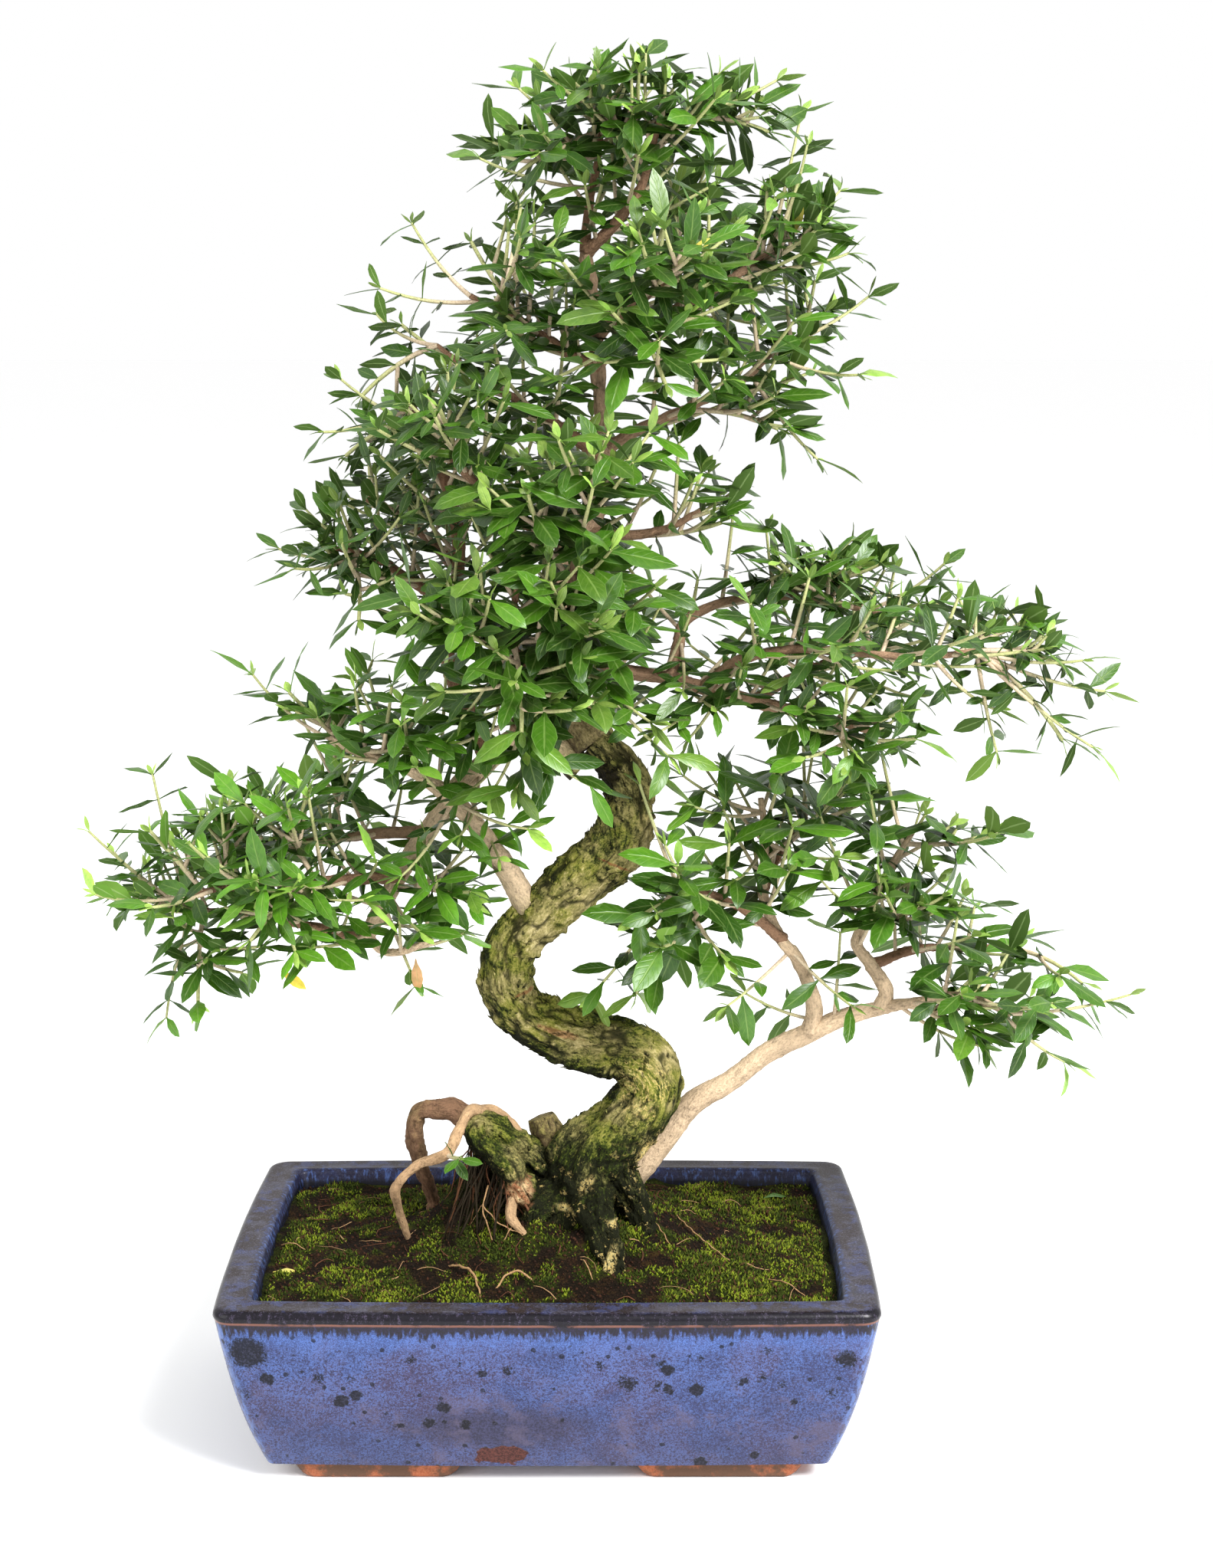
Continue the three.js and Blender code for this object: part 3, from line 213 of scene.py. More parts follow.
ROOTS = {
    "brown_arch": [
        [-20, 0, 104, 5], [-37, 6, 126, 4.4], [-48, 10, 128, 4.3], [-56, 12, 126, 4.3], [-58, 14, 116, 4],
        [-56, 20, 100, 3.6], [-52, 30, 82, 3.2], [-51, 31, 70, 2.8],
    ],
    "pale_front": [
        [-25, 2, 128, 2], [-33, -8, 133, 2], [-38, -18, 127, 2.1], [-42, -24, 120, 2.1], [-54, -24, 115, 2.2],
        [-63, -22, 105, 2.2], [-63, -14, 93, 2], [-60, -8, 79, 1.8], [-59, -6, 70, 1.6],
    ],
    "thin_top": [[-38, 5, 126, 1.8], [-25, 0, 131, 1.8], [-16, -2, 125, 1.7], [-10, -2, 113, 1.6]],
    "mossy_left": [
        [-4, 0, 106, 7], [-20, -5, 122, 5.2], [-30, -7, 127, 4.8], [-29, -11, 121, 5.6], [-19, -16, 114, 6.2],
        [-14, -16, 104, 6], [-9, -12, 93, 5], [-7, -12, 80, 4],
    ],
    "knob": [[4, 3, 106, 7.5], [-1, 5, 118, 6.5], [-4, 6, 126, 5.6]],
    "front_foot": [
        [13, 0, 100, 12], [17, -16, 96, 8.5], [21, -32, 89, 6.2], [25, -42, 80, 4.4], [27, -46, 70, 3.6],
    ],
    "right_foot": [[22, 0, 104, 11], [30, -8, 101, 7.5], [35, -10, 94, 5.5], [38, -12, 76, 4.5]],
    "left_foot": [[6, 0, 94, 12], [-4, -10, 92, 8], [-9, -18, 84, 5.2], [-11, -22, 70, 3.6]],
    "back_foot": [[13, 0, 100, 12], [18, 20, 96, 8], [26, 34, 88, 5], [30, 42, 72, 4]],
    "rootlet": [[-15, -17, 102, 2], [-16, -24, 93, 1.6], [-9, -28, 85, 1.4], [-6, -29, 76, 1.2]],
}

# Each pad of sprays: its leaves' size, slimness, painted light and sag, the side shoots of a spray, the gap
# between the shoots on its limbs, the limbs that it grows from, and where each of its sprays ends. Its
# painted light is a factor that paints the pad's greens lighter or darker in place of the light it gets
PADS = {
    "crown": {
        "leaf_scale": 0.98, "slimness": 1, "painted_light": 1.05, "sag": 0.08, "shoots": 8, "gap": 6,
        "limbs": [
            "leader", "top_left", "crown_right", "crown_low", "crown_back", "crown_left", "crown_front",
        ],
        "tips": [
            [21, 0, 541], [49, -20, 528], [86, 5, 526], [105, -5, 490], [112, 10, 458], [90, -15, 412],
            [-12, -5, 509], [54, -65, 479], [45, -55, 430], [57, 60, 510], [75, 70, 447],
        ],
    },
    "upper_left": {
        "leaf_scale": 0.88, "slimness": 0.9, "painted_light": 0.95, "sag": 0.08, "shoots": 8, "gap": 4.8,
        "limbs": [
            "crown_left", "riser", "upper_left_front", "upper_left_high", "upper_left_back", "upper_left_low",
        ],
        "tips": [
            [-30, 0, 484], [-10, -42, 480], [-58, 5, 452], [-74, 0, 424], [-82, 15, 400],
            [-94, 5, 363], [-74, -25, 338], [-39, -65, 422], [-49, 75, 377],
        ],
    },
    "front": {
        "leaf_scale": 1.08, "slimness": 1.05, "painted_light": 1, "sag": 0.2, "shoots": 8, "gap": 5.8,
        "limbs": ["front_up", "front_mid", "front_low"],
        "tips": [[18, -70, 405], [-6, -70, 388], [19, -70, 341], [-36, -74, 344], [-9, -70, 301]],
    },
    "left": {
        "leaf_scale": 0.95, "slimness": 1, "painted_light": 1.75, "sag": 0.1, "shoots": 6, "gap": 6.5,
        "limbs": ["first_left", "second_left", "left_back", "left_front", "left_end", "left_loop"],
        "tips": [
            [-105, 0, 306], [-90, 40, 285], [-162, -5, 250], [-177, 10, 222], [-130, 5, 268],
            [-108, -25, 268], [-143, -15, 181], [-117, -45, 214], [-127, 55, 224], [-32, -15, 223],
            [-45, -38, 292],
        ],
    },
    "right_upper": {
        "leaf_scale": 0.9, "slimness": 0.95, "painted_light": 1.1, "sag": 0.08, "shoots": 6, "gap": 7.2,
        "limbs": ["centre_right", "right_upper", "right_riser", "right_front", "right_back"],
        "tips": [
            [68, -20, 376], [93, 0, 357], [126, 10, 356], [182, 0, 338], [204, -15, 319],
            [204, -20, 290], [116, -48, 284], [149, 65, 331],
        ],
    },
    "right_low": {
        "leaf_scale": 1.05, "slimness": 1.1, "painted_light": 1.2, "sag": 0.2, "shoots": 6, "gap": 6.9,
        "limbs": [
            "low_right_inner", "low_right_outer", "mid_right_front", "mid_right_back", "low_right_back",
            "low_right",
        ],
        "tips": [
            [36, -46, 224], [44, -28, 197], [183, 5, 248], [119, 50, 253], [148, -24, 224],
            [219, 0, 185], [177, -15, 166],
        ],
    },
    "back": {
        "leaf_scale": 1, "slimness": 1, "painted_light": 1, "sag": 0.1, "shoots": 8, "gap": 5.5,
        "limbs": ["back_low", "back_high"],
        "tips": [[12, 80, 337]],
    },
}
# The clipped outline of the foliage, (x, z), where lines of sight from the eye cross the plane y = 0
EYE = (23, -1010, 453)
CLIPPED = [
    (-12, 543), (3, 551), (23, 558), (40, 557), (55, 551), (75, 546), (89, 538), (99, 527),
    (101, 515), (112, 505), (113, 480), (113, 462), (108, 447), (114, 434), (101, 429), (99, 418),
    (106, 403), (92, 414), (68, 424), (58, 412), (70, 396), (79, 386), (72, 378), (54, 386),
    (34, 384), (30, 368), (56, 362), (85, 364), (102, 370), (127, 365), (157, 358), (179, 349),
    (205, 336), (212, 322), (190, 316), (165, 308), (154, 284), (139, 281), (137, 268), (150, 262),
    (168, 256), (188, 249), (172, 240), (174, 226), (184, 212), (205, 206), (214, 191), (238, 180),
    (226, 169), (209, 168), (211, 154), (197, 151), (177, 149), (170, 166), (144, 176), (133, 168),
    (118, 164), (106, 175), (84, 175), (60, 180), (35, 180), (18, 180), (37, 197), (30, 204),
    (44, 234), (43, 260), (41, 269), (23, 274), (12, 267), (-1, 279), (-9, 272), (1, 243),
    (-20, 249), (-26, 225), (-25, 203), (-40, 201), (-75, 199), (-94, 191), (-120, 181), (-136, 178),
    (-152, 175), (-157, 197), (-172, 214), (-180, 222), (-168, 238), (-155, 247), (-150, 260), (-118, 272),
    (-92, 278), (-88, 292), (-116, 303), (-84, 306), (-76, 323), (-88, 338), (-91, 355), (-95, 369),
    (-88, 384), (-81, 399), (-77, 413), (-66, 422), (-55, 432), (-46, 441), (-31, 452), (-22, 466),
    (-12, 480), (-15, 494), (-22, 506), (-24, 523), (-10, 532),
]
# Where the long fresh shoots that stand out of each pad end
WISPS = {
    "crown": [
        [-26, -10, 515], [-22, 20, 523], [-11, 0, 542], [-1, -30, 546], [20, 10, 557], [38, -10, 554],
        [66, -20, 546], [89, 0, 545], [100, 20, 535], [99, -25, 519], [115, 10, 504], [116, -20, 479],
        [126, 0, 463], [120, -25, 433], [106, -10, 400],
    ],
    "upper_left": [
        [-53, 0, 491], [-65, -10, 466], [-69, 20, 456], [-82, 0, 431], [-87, -20, 411], [-98, 10, 379],
        [-108, 0, 364], [-98, -30, 359], [-14, -60, 450], [6, -60, 431],
    ],
    "front": [
        [-21, -50, 275], [17, -40, 275], [40, -45, 301], [47, -40, 287], [-8, -58, 292], [-22, -52, 296],
        [-33, -50, 303], [-12, -50, 276],
    ],
    "left": [
        [-163, 10, 271], [-188, 0, 249], [-182, -20, 227], [-183, 25, 235], [-157, -10, 173], [-55, 0, 184],
        [-121, 10, 312], [-76, -20, 314], [-72, 10, 318], [-35, -30, 253], [-20, -20, 242],
        [-79, -30, 225], [-58, -35, 238], [-35, -25, 268], [-8, -30, 256], [-95, -10, 265],
        [-95, -50, 238], [-112, -50, 226], [-72, -42, 230], [-85, -28, 210],
    ],
    "right_upper": [
        [158, 0, 358], [222, -10, 308], [209, -30, 323], [177, -20, 302], [216, -20, 287],
        [143, 20, 281], [53, -30, 311], [57, 10, 324], [44, -20, 343], [75, 0, 388],
        [123, 20, 366], [86, -10, 373], [44, -36, 296], [56, -16, 290],
        [97, -40, 319], [121, -35, 313], [151, 20, 301], [178, -20, 285], [75, -45, 322], [135, -50, 322],
        [110, -55, 331],
    ],
    "right_low": [
        [109, -20, 233], [119, 0, 207], [237, -10, 183], [210, -15, 156], [72, -20, 181], [35, -20, 186],
        [17, -10, 183], [81, 10, 178], [54, 0, 272], [58, -20, 263], [122, -20, 181],
        [74, -30, 235], [114, -25, 243], [133, -20, 232], [153, 20, 253], [175, -20, 164], [192, -20, 182],
    ],
}
# Wilted leaves in the left pad: place of the stalk, direction, length and colour
WILTED = [
    ([-54.7, -10, 198], (0.05, 0, -1), 16, (0.5, 0.27, 0.12)),
    ([-108, -22, 196], (0.8, -0.3, -0.5), 13, (0.62, 0.45, 0.05)),
]
ROOT_SPROUT = {"limb": "pale_front", "tip": [-36, -36, 122], "seed": 99}
# The sprout's painted light paints its leaves a little lighter
SPROUT_LOOK = {"leaf_scale": 0.62, "slimness": 1.1, "painted_light": 1.2, "sag": 0}

# How a spray grows, in millimetres and in shares of a twig's length
LEAF_LENGTH = 21
TRUNK_X = 15
TWIG_RADII = (1.15, 0.8)
WISP_RADII = (0.95, 0.5)
SHOOT = {"length": 31, "radii": (0.95, 0.6), "first": 0.3, "spacing": 0.07, "limb_length": 35}
# The share of a limb's length that is bare before its first leafy shoot
BARE_SHARE = 0.2
LEAFY_FROM = {
    "second_left": 0.8, "first_left": 0.5, "low_right": 0.78, "low_right_inner": 0.55, "low_right_outer": 0.5,
    "right_upper": 0.3, "riser": 0.35, "left_loop": 0.5, "crown_left": 0.15, "leader": 0.1, "top_left": 0.1,
}
SHORTEST_TWIG = 38
SHORTEST_SPROUT = 8
ROOT_CHOICES = 8
SWINGS = (0, 0.1, -0.1, 0.2, -0.2)
# A stem is cut to the longest of these shares of its length that ends within the outline
CUTS = (1, 0.8, 0.6, 0.4)
# The share of leaves that are yellow
YELLOW_SHARE = 0.0015

# How many loose crumbs, straws, root fibres and flakes of bark there are
CRUMB_COUNT = 6500
STRAW_COUNT = 170
FIBRE_COUNT = 130
TRUNK_FLAKES = 1500
ROOT_FLAKES = 160

# How finely curves and rounds are followed, and the angles in degrees past which an edge stays sharp
CURVE_STEPS = 400
STEM_STEPS = 9
DRAIN_SIDES = 40
FOOT_SIDES = 48
CLAY_CREASE = 50
LEAF_CREASE = 70


# Settings that the sidebar shows
def size(name, description, default):
    """A length in metres"""
    return bpy.props.FloatProperty(name=name, description=description, default=default, min=0, unit="LENGTH")


def share(name, description, default):
    """A plain number"""
    return bpy.props.FloatProperty(name=name, description=description, default=default, min=0)


def tint(name, description, default):
    """A colour, in linear light"""
    return bpy.props.FloatVectorProperty(
        name=name, description=description, default=default, size=3, subtype="COLOR", min=0, max=1
    )


class PotSettings(bpy.types.PropertyGroup):
    """Sizes and colours of the pot"""

    rounding: size("Edge rounding", "Radius of the rim's outer edge", 3.4 * MM)
    glaze: tint("Glaze", "Cobalt of the glazed sides", (0.018, 0.024, 0.084))
    glaze_light: tint("Light glaze", "Light blue streaks and speckles", (0.065, 0.125, 0.35))
    glaze_dark: tint("Dark glaze", "Iron spots and the band below the edge", (0.01, 0.009, 0.014))
    rim: tint("Rim", "Slate of the worn rim", (0.05, 0.047, 0.074))
    clay: tint("Clay", "Bare fired clay", (0.3, 0.078, 0.028))


class SoilSettings(bpy.types.PropertyGroup):
    """Sizes and colours of the soil and its moss"""

    grain: size("Grain", "Size of the soil's crumbs", 1.5 * MM)
    moss_height: size("Moss height", "Height of a moss plant", 2.4 * MM)
    moss_plants: bpy.props.IntProperty(
        name="Moss plants", description="Number of moss plants", default=40000, min=0
    )
    soil: tint("Soil", "Damp dark soil", (0.007, 0.0048, 0.003))
    humus: tint("Humus", "Red-brown plant remains", (0.042, 0.016, 0.008))
    moss: tint("Moss", "Moss in the shade", (0.035, 0.05, 0.004))
    moss_fresh: tint("Fresh moss", "Tips of growing moss", (0.22, 0.27, 0.017))


class WoodSettings(bpy.types.PropertyGroup):
    """Sizes and colours of the wood"""

    fissure_depth: size("Fissure depth", "Depth of the cracks in the old bark", 2.0 * MM)
    fissure_width: size("Fissure spacing", "Distance between cracks round the trunk", 4.4 * MM)
    mossy: tint("Mossy bark", "Olive of the mossy trunk", (0.15, 0.16, 0.024))
    mossy_light: tint("Light mossy bark", "Olive buff of the ridges", (0.26, 0.238, 0.055))
    moss: tint("Bark moss", "Green growth on the bark", (0.032, 0.046, 0.006))
    flake: tint("Flakes", "Pale yellow flakes of bark", (0.6, 0.52, 0.24))
    # The crevice colour is painted shade: near-black at the bottom of the cracks
    crevice_shade: tint("Crevice shade", "Bottom of the cracks", (0.008, 0.009, 0.003))
    pale: tint("Branch bark", "Buff bark of the branches", (0.62, 0.46, 0.3))
    tan: tint("Thin roots", "Tan bark of the thin surface roots", (0.48, 0.31, 0.17))
    brown: tint("Root bark", "Red-brown bark of the big root", (0.26, 0.145, 0.085))


class FoliageSettings(bpy.types.PropertyGroup):
    """Sizes and colours of the leaves and twigs"""

    node_spacing: size("Leaf spacing", "Distance between pairs of leaves", 10.2 * MM)
    blade_thickness: size("Blade thickness", "Thickness of a leaf at its rib", 0.4 * MM)
    slimness: share("Slimness", "Width of a leaf as a share of its length", 0.33)
    old_leaf: tint("Old leaf", "Dark glossy green of grown leaves", (0.02, 0.058, 0.004))
    leaf: tint("Leaf", "Middle green", (0.05, 0.13, 0.007))
    fresh_leaf: tint("Fresh leaf", "Yellow-green of the shoots' tips", (0.22, 0.33, 0.06))
    yellow_leaf: tint("Yellow leaf", "Colour of a wilting leaf", (0.6, 0.5, 0.09))
    green_twig: tint("Green twig", "Bark of this year's twigs", (0.38, 0.4, 0.16))
    old_twig: tint("Old twig", "Bark of older twigs", (0.56, 0.44, 0.3))


class StageSettings(bpy.types.PropertyGroup):
    """Floor, light and camera"""

    floor: tint("Floor", "Pale floor", (0.995, 0.995, 0.995))
    sky: share("Ambient light", "Strength of the even light from all round", 1.0)
    key: share("Key light", "Power of the main lamp in watts", 78)
    fill: share("Fill light", "Power of the side lamp in watts", 12)
    lens: bpy.props.FloatProperty(name="Lens", description="Focal length in millimetres", default=58.06)
    distance: size("Distance", "From the camera back to the pot's middle", -EYE[1] * MM)
    height: size("Height", "Camera's height above the floor", EYE[2] * MM)
    pitch: bpy.props.FloatProperty(
        name="Pitch", description="Angle that the camera looks down", default=math.radians(10.35),
        subtype="ANGLE",
    )


# Numbers drawn by rule, and vectors
def chance(a, b, c=0):
    """A number from 0 to 1 for three seeds: the fractional part of the size of
    43758.5453 sin(12.9898 a + 78.233 b + 37.719 c)"""
    return np.abs(np.sin(a * 12.9898 + b * 78.233 + c * 37.719) * 43758.5453) % 1


def chances(n, *seeds):
    """Such numbers in columns, one for each seed"""
    return np.stack([chance(n, seed) for seed in seeds], axis=-1)


def unit(vectors):
    return vectors / np.maximum(np.linalg.norm(vectors, axis=-1, keepdims=True), 1e-9)


def across(vectors, axes):
    """The part of each vector that is square to its axis, at unit length"""
    return unit(vectors - axes * np.sum(vectors * axes, axis=-1, keepdims=True))


def turned(first, second, angles):
    """Directions at angles from a first direction towards a second"""
    angles = np.asarray(angles)[..., None]
    return first * np.cos(angles) + second * np.sin(angles)


def around(tangents, angles):
    """Unit vectors square to stems, at an angle from the side of each stem that is uppermost"""
    upright = np.abs(tangents[..., 2:3]) > 0.95
    high = across(np.where(upright, [1.0, 0.0, 0.0], UP), tangents)
    return turned(high, np.cross(tangents, high), angles)


def turns(count):
    """Evenly spaced angles of one whole turn"""
    return np.arange(count) / count * 2 * np.pi


def heading(angles):
    """Level directions (..., 2) at angles from the x axis"""
    return np.stack([np.cos(angles), np.sin(angles)], axis=-1)


def raised(flat, z):
    """Level places (..., 2) lifted to heights"""
    return np.concatenate([flat, np.broadcast_to(z, flat.shape[:-1])[..., None]], axis=-1)


def bell(flat, middle, radius):
    """1 at a middle and falling off round it as exp(-d^2), with the distance d as a share of the radius"""
    return np.exp(-np.sum(((flat - middle) / radius) ** 2, axis=-1))


def blend(first, second, part):
    """Between two colours, with a part of the second"""
    return np.array(first) * (1 - part) + np.array(second) * part


def travelled(points):
    """The way from the first of a row of points to each of them"""
    return np.concatenate([[0], np.cumsum(np.linalg.norm(np.diff(points, axis=0), axis=1))])


def placed(points):
    """Millimetres from the pot's middle as metres in the frame"""
    return np.asarray(points, float) * MM + POT_MIDDLE


def lattice(corner):
    """A number from -1 to 1 for each whole-numbered corner of a 3D grid"""
    mixed = corner @ np.array([127.1, 311.7, 74.7])
    return np.abs(np.sin(mixed) * 43758.5453) % 1 * 2 - 1


def noise(points):
    """Smooth noise from -1 to 1: the lattice's numbers blended by 3t^2 - 2t^3 along each axis"""
    low = np.floor(points)
    part = points - low
    part = part * part * (3 - 2 * part)
    total = np.zeros(points.shape[:-1])
    for i in (0, 1):
        for j in (0, 1):
            for k in (0, 1):
                corner = np.array([i, j, k])
                weight = np.prod(np.where(corner == 1, part, 1 - part), axis=-1)
                total += weight * lattice(low + corner)
    return total


def layered_noise(points, layers):
    """Noise plus finer noise: each layer has twice the detail and half the height of the one before"""
    return sum(noise(points * 2**i + 17 * i) / 2**i for i in range(layers))


# Meshes
class Skin:
    """Points, faces and attributes gathered from many surfaces, made into one mesh at the end"""

    def __init__(self):
        self.points = []
        self.corners = []
        self.sizes = []
        self.materials = []
        self.attributes = {}
        self.count = 0

    def add(self, points, faces, material=0, **attributes):
        """Adds points (n, 3) in millimetres and arrays of faces, with one material for all or one for each
        array, and one value or n values for each attribute"""
        for block, index in zip(faces, np.broadcast_to(material, len(faces))):
            self.corners.append((block + self.count).ravel())
            self.sizes.append(np.full(len(block), block.shape[1]))
            self.materials.append(np.full(len(block), index))
        for name, values in attributes.items():
            values = np.asarray(values, float)
            shape = (len(points), 3) if values.shape[-1:] == (3,) else (len(points),)
            self.attributes.setdefault(name, []).append((self.count, np.broadcast_to(values, shape)))
        self.points.append(points)
        self.count += len(points)

    def piece(self, name, materials, sharp_angle=180):
        """The object of all that was added, kept within the tree's box, and smooth except where faces meet
        at more than the sharp angle"""
        mesh = bpy.data.meshes.new(name)
        points = np.clip(placed(np.concatenate(self.points)), *CAD_BOX)
        corners = np.concatenate(self.corners).astype(np.int32)
        sizes = np.concatenate(self.sizes)
        mesh.vertices.add(len(points))
        mesh.vertices.foreach_set("co", points.ravel())
        mesh.loops.add(len(corners))
        mesh.loops.foreach_set("vertex_index", corners)
        mesh.polygons.add(len(sizes))
        mesh.polygons.foreach_set("loop_start", np.concatenate([[0], np.cumsum(sizes)[:-1]]).astype(np.int32))
        for label, parts in self.attributes.items():
            colour = parts[0][1].ndim == 2
            values = np.ones((len(points), 4)) if colour else np.zeros((len(points), 1))
            for start, part in parts:
                values[start : start + len(part), : 3 if colour else 1] = part if colour else part[:, None]
            layer = mesh.attributes.new(label, "FLOAT_COLOR" if colour else "FLOAT", "POINT")
            layer.data.foreach_set("color" if colour else "value", values.ravel())
        for material in materials:
            mesh.materials.append(material)
        mesh.update(calc_edges=True)
        mesh.polygons.foreach_set("material_index", np.concatenate(self.materials).astype(np.int32))
        mesh.shade_smooth()
        if sharp_angle < 180:
            mesh.set_sharp_from_angle(angle=math.radians(sharp_angle))
        piece = bpy.data.objects.new(name, mesh)
        bpy.context.scene.collection.objects.link(piece)
        return piece


def grid_faces(rows, columns, wrap=False, flip=False):
    """Four-cornered faces of a grid of points, row by row; wrap joins the last column to the first"""
    row, column = np.meshgrid(np.arange(rows - 1), np.arange(columns if wrap else columns - 1), indexing="ij")
    near = (row * columns + column).ravel()
    beside = (row * columns + (column + 1) % columns).ravel()
    faces = np.stack([near, beside, beside + columns, near + columns], axis=1)
    return faces[:, ::-1] if flip else faces


def closed_faces(rows, columns):
    """The faces of a wrapped grid whose first and last rings are closed by fans to two poles, which are the
    two points after the grid's"""
    low = np.arange(columns)
    high = low + (rows - 1) * columns
    pole = np.full(columns, rows * columns)
    fans = [[pole, np.roll(low, -1), low], [pole + 1, high, np.roll(high, -1)]]
    return [grid_faces(rows, columns, wrap=True), np.concatenate([np.stack(fan, axis=1) for fan in fans])]


def repeated(faces, copies, stride):
    """The faces of one shape repeated for copies whose points follow each other"""
    return (faces[None] + np.arange(copies)[:, None, None] * stride).reshape(-1, faces.shape[1])


def smooth_curve(points, steps):
    """Places, positions, tangents and radii along the uniform Catmull-Rom curve through the points"""
    knots = np.asarray(points, float)
    ends = np.concatenate([[2 * knots[0] - knots[1]], knots, [2 * knots[-1] - knots[-2]]])
    place = np.linspace(0, len(knots) - 1, steps + 1)
    segment = np.minimum(place.astype(int), len(knots) - 2)
    f = (place - segment)[:, None]
    a, b, c, d = (ends[segment + i, :3] for i in range(4))
    at = 0.5 * (2 * b + (c - a) * f + (2 * a - 5 * b + 4 * c - d) * f**2 + (3 * b - a - 3 * c + d) * f**3)
    slope = 0.5 * ((c - a) + 2 * (2 * a - 5 * b + 4 * c - d) * f + 3 * (3 * b - a - 3 * c + d) * f**2)
    radius = np.interp(place, np.arange(len(knots)), knots[:, 3])
    return place, at, unit(slope), radius


def curve_length(points):
    at = smooth_curve(points, 200)[1]
    return np.sum(np.linalg.norm(np.diff(at, axis=0), axis=1))


def curve_frame(points, steps):
    """Along a smooth curve: places, positions, tangents, two directions square to them, radii and the way
    travelled"""
    place, at, tangent, radius = smooth_curve(points, steps)
    flattest = np.argmin(np.max(np.abs(tangent), axis=0))
    second = across(np.eye(3)[flattest], tangent)
    return place, at, tangent, np.cross(second, tangent), second, radius, travelled(at)


def tube(skin, points, step, sides, reach, **attributes):
    """A closed tube round a smooth curve, with a pole at each end. Its points stand off the axis by
    reach(place, angle, along, radius) in millimetres, and attributes may be functions of the same four"""
    rows = max(3, round(curve_length(points) / step)) + 1
    place, at, _, first, second, radius, along = curve_frame(points, rows - 1)
    spots = np.broadcast_arrays(place[:, None], turns(sides), along[:, None], radius[:, None])
    outward = turned(first[:, None], second[:, None], spots[1])
    rings = at[:, None] + reach(*spots)[..., None] * outward
    for name, value in attributes.items():
        if callable(value):
            spread = value(*spots)
            body = spread.reshape(rows * sides, *spread.shape[2:])
            attributes[name] = np.concatenate([body, spread[[0, -1]].mean(axis=1)])
    points_out = np.concatenate([rings.reshape(-1, 3), at[[0, -1]]])
    skin.add(points_out, closed_faces(rows, sides), **attributes)


# Shaders
class Value:
    """One output of a node. Arithmetic on it adds Math nodes, for numbers that vary over a surface"""

    def __init__(self, paint, socket):
        self.paint = paint
        self.socket = socket

    def math(self, operation, first, second=0.0):
        return self.paint.add("ShaderNodeMath", {"operation": operation}, {0: first, 1: second})

    def __add__(self, other):
        return self.math("ADD", self, other)

    __radd__ = __add__

    def __sub__(self, other):
        return self.math("SUBTRACT", self, other)

    def __rsub__(self, other):
        return self.math("SUBTRACT", other, self)

    def __mul__(self, other):
        return self.math("MULTIPLY", self, other)

    __rmul__ = __mul__

    def __abs__(self):
        return self.math("ABSOLUTE", self)
    def between(self, low, high):
        """0 below low, 1 above high and a smooth rise between them"""
        settings = {"interpolation_type": "SMOOTHSTEP"}
        return self.paint.add("ShaderNodeMapRange", settings, {0: self, 1: low, 2: high})


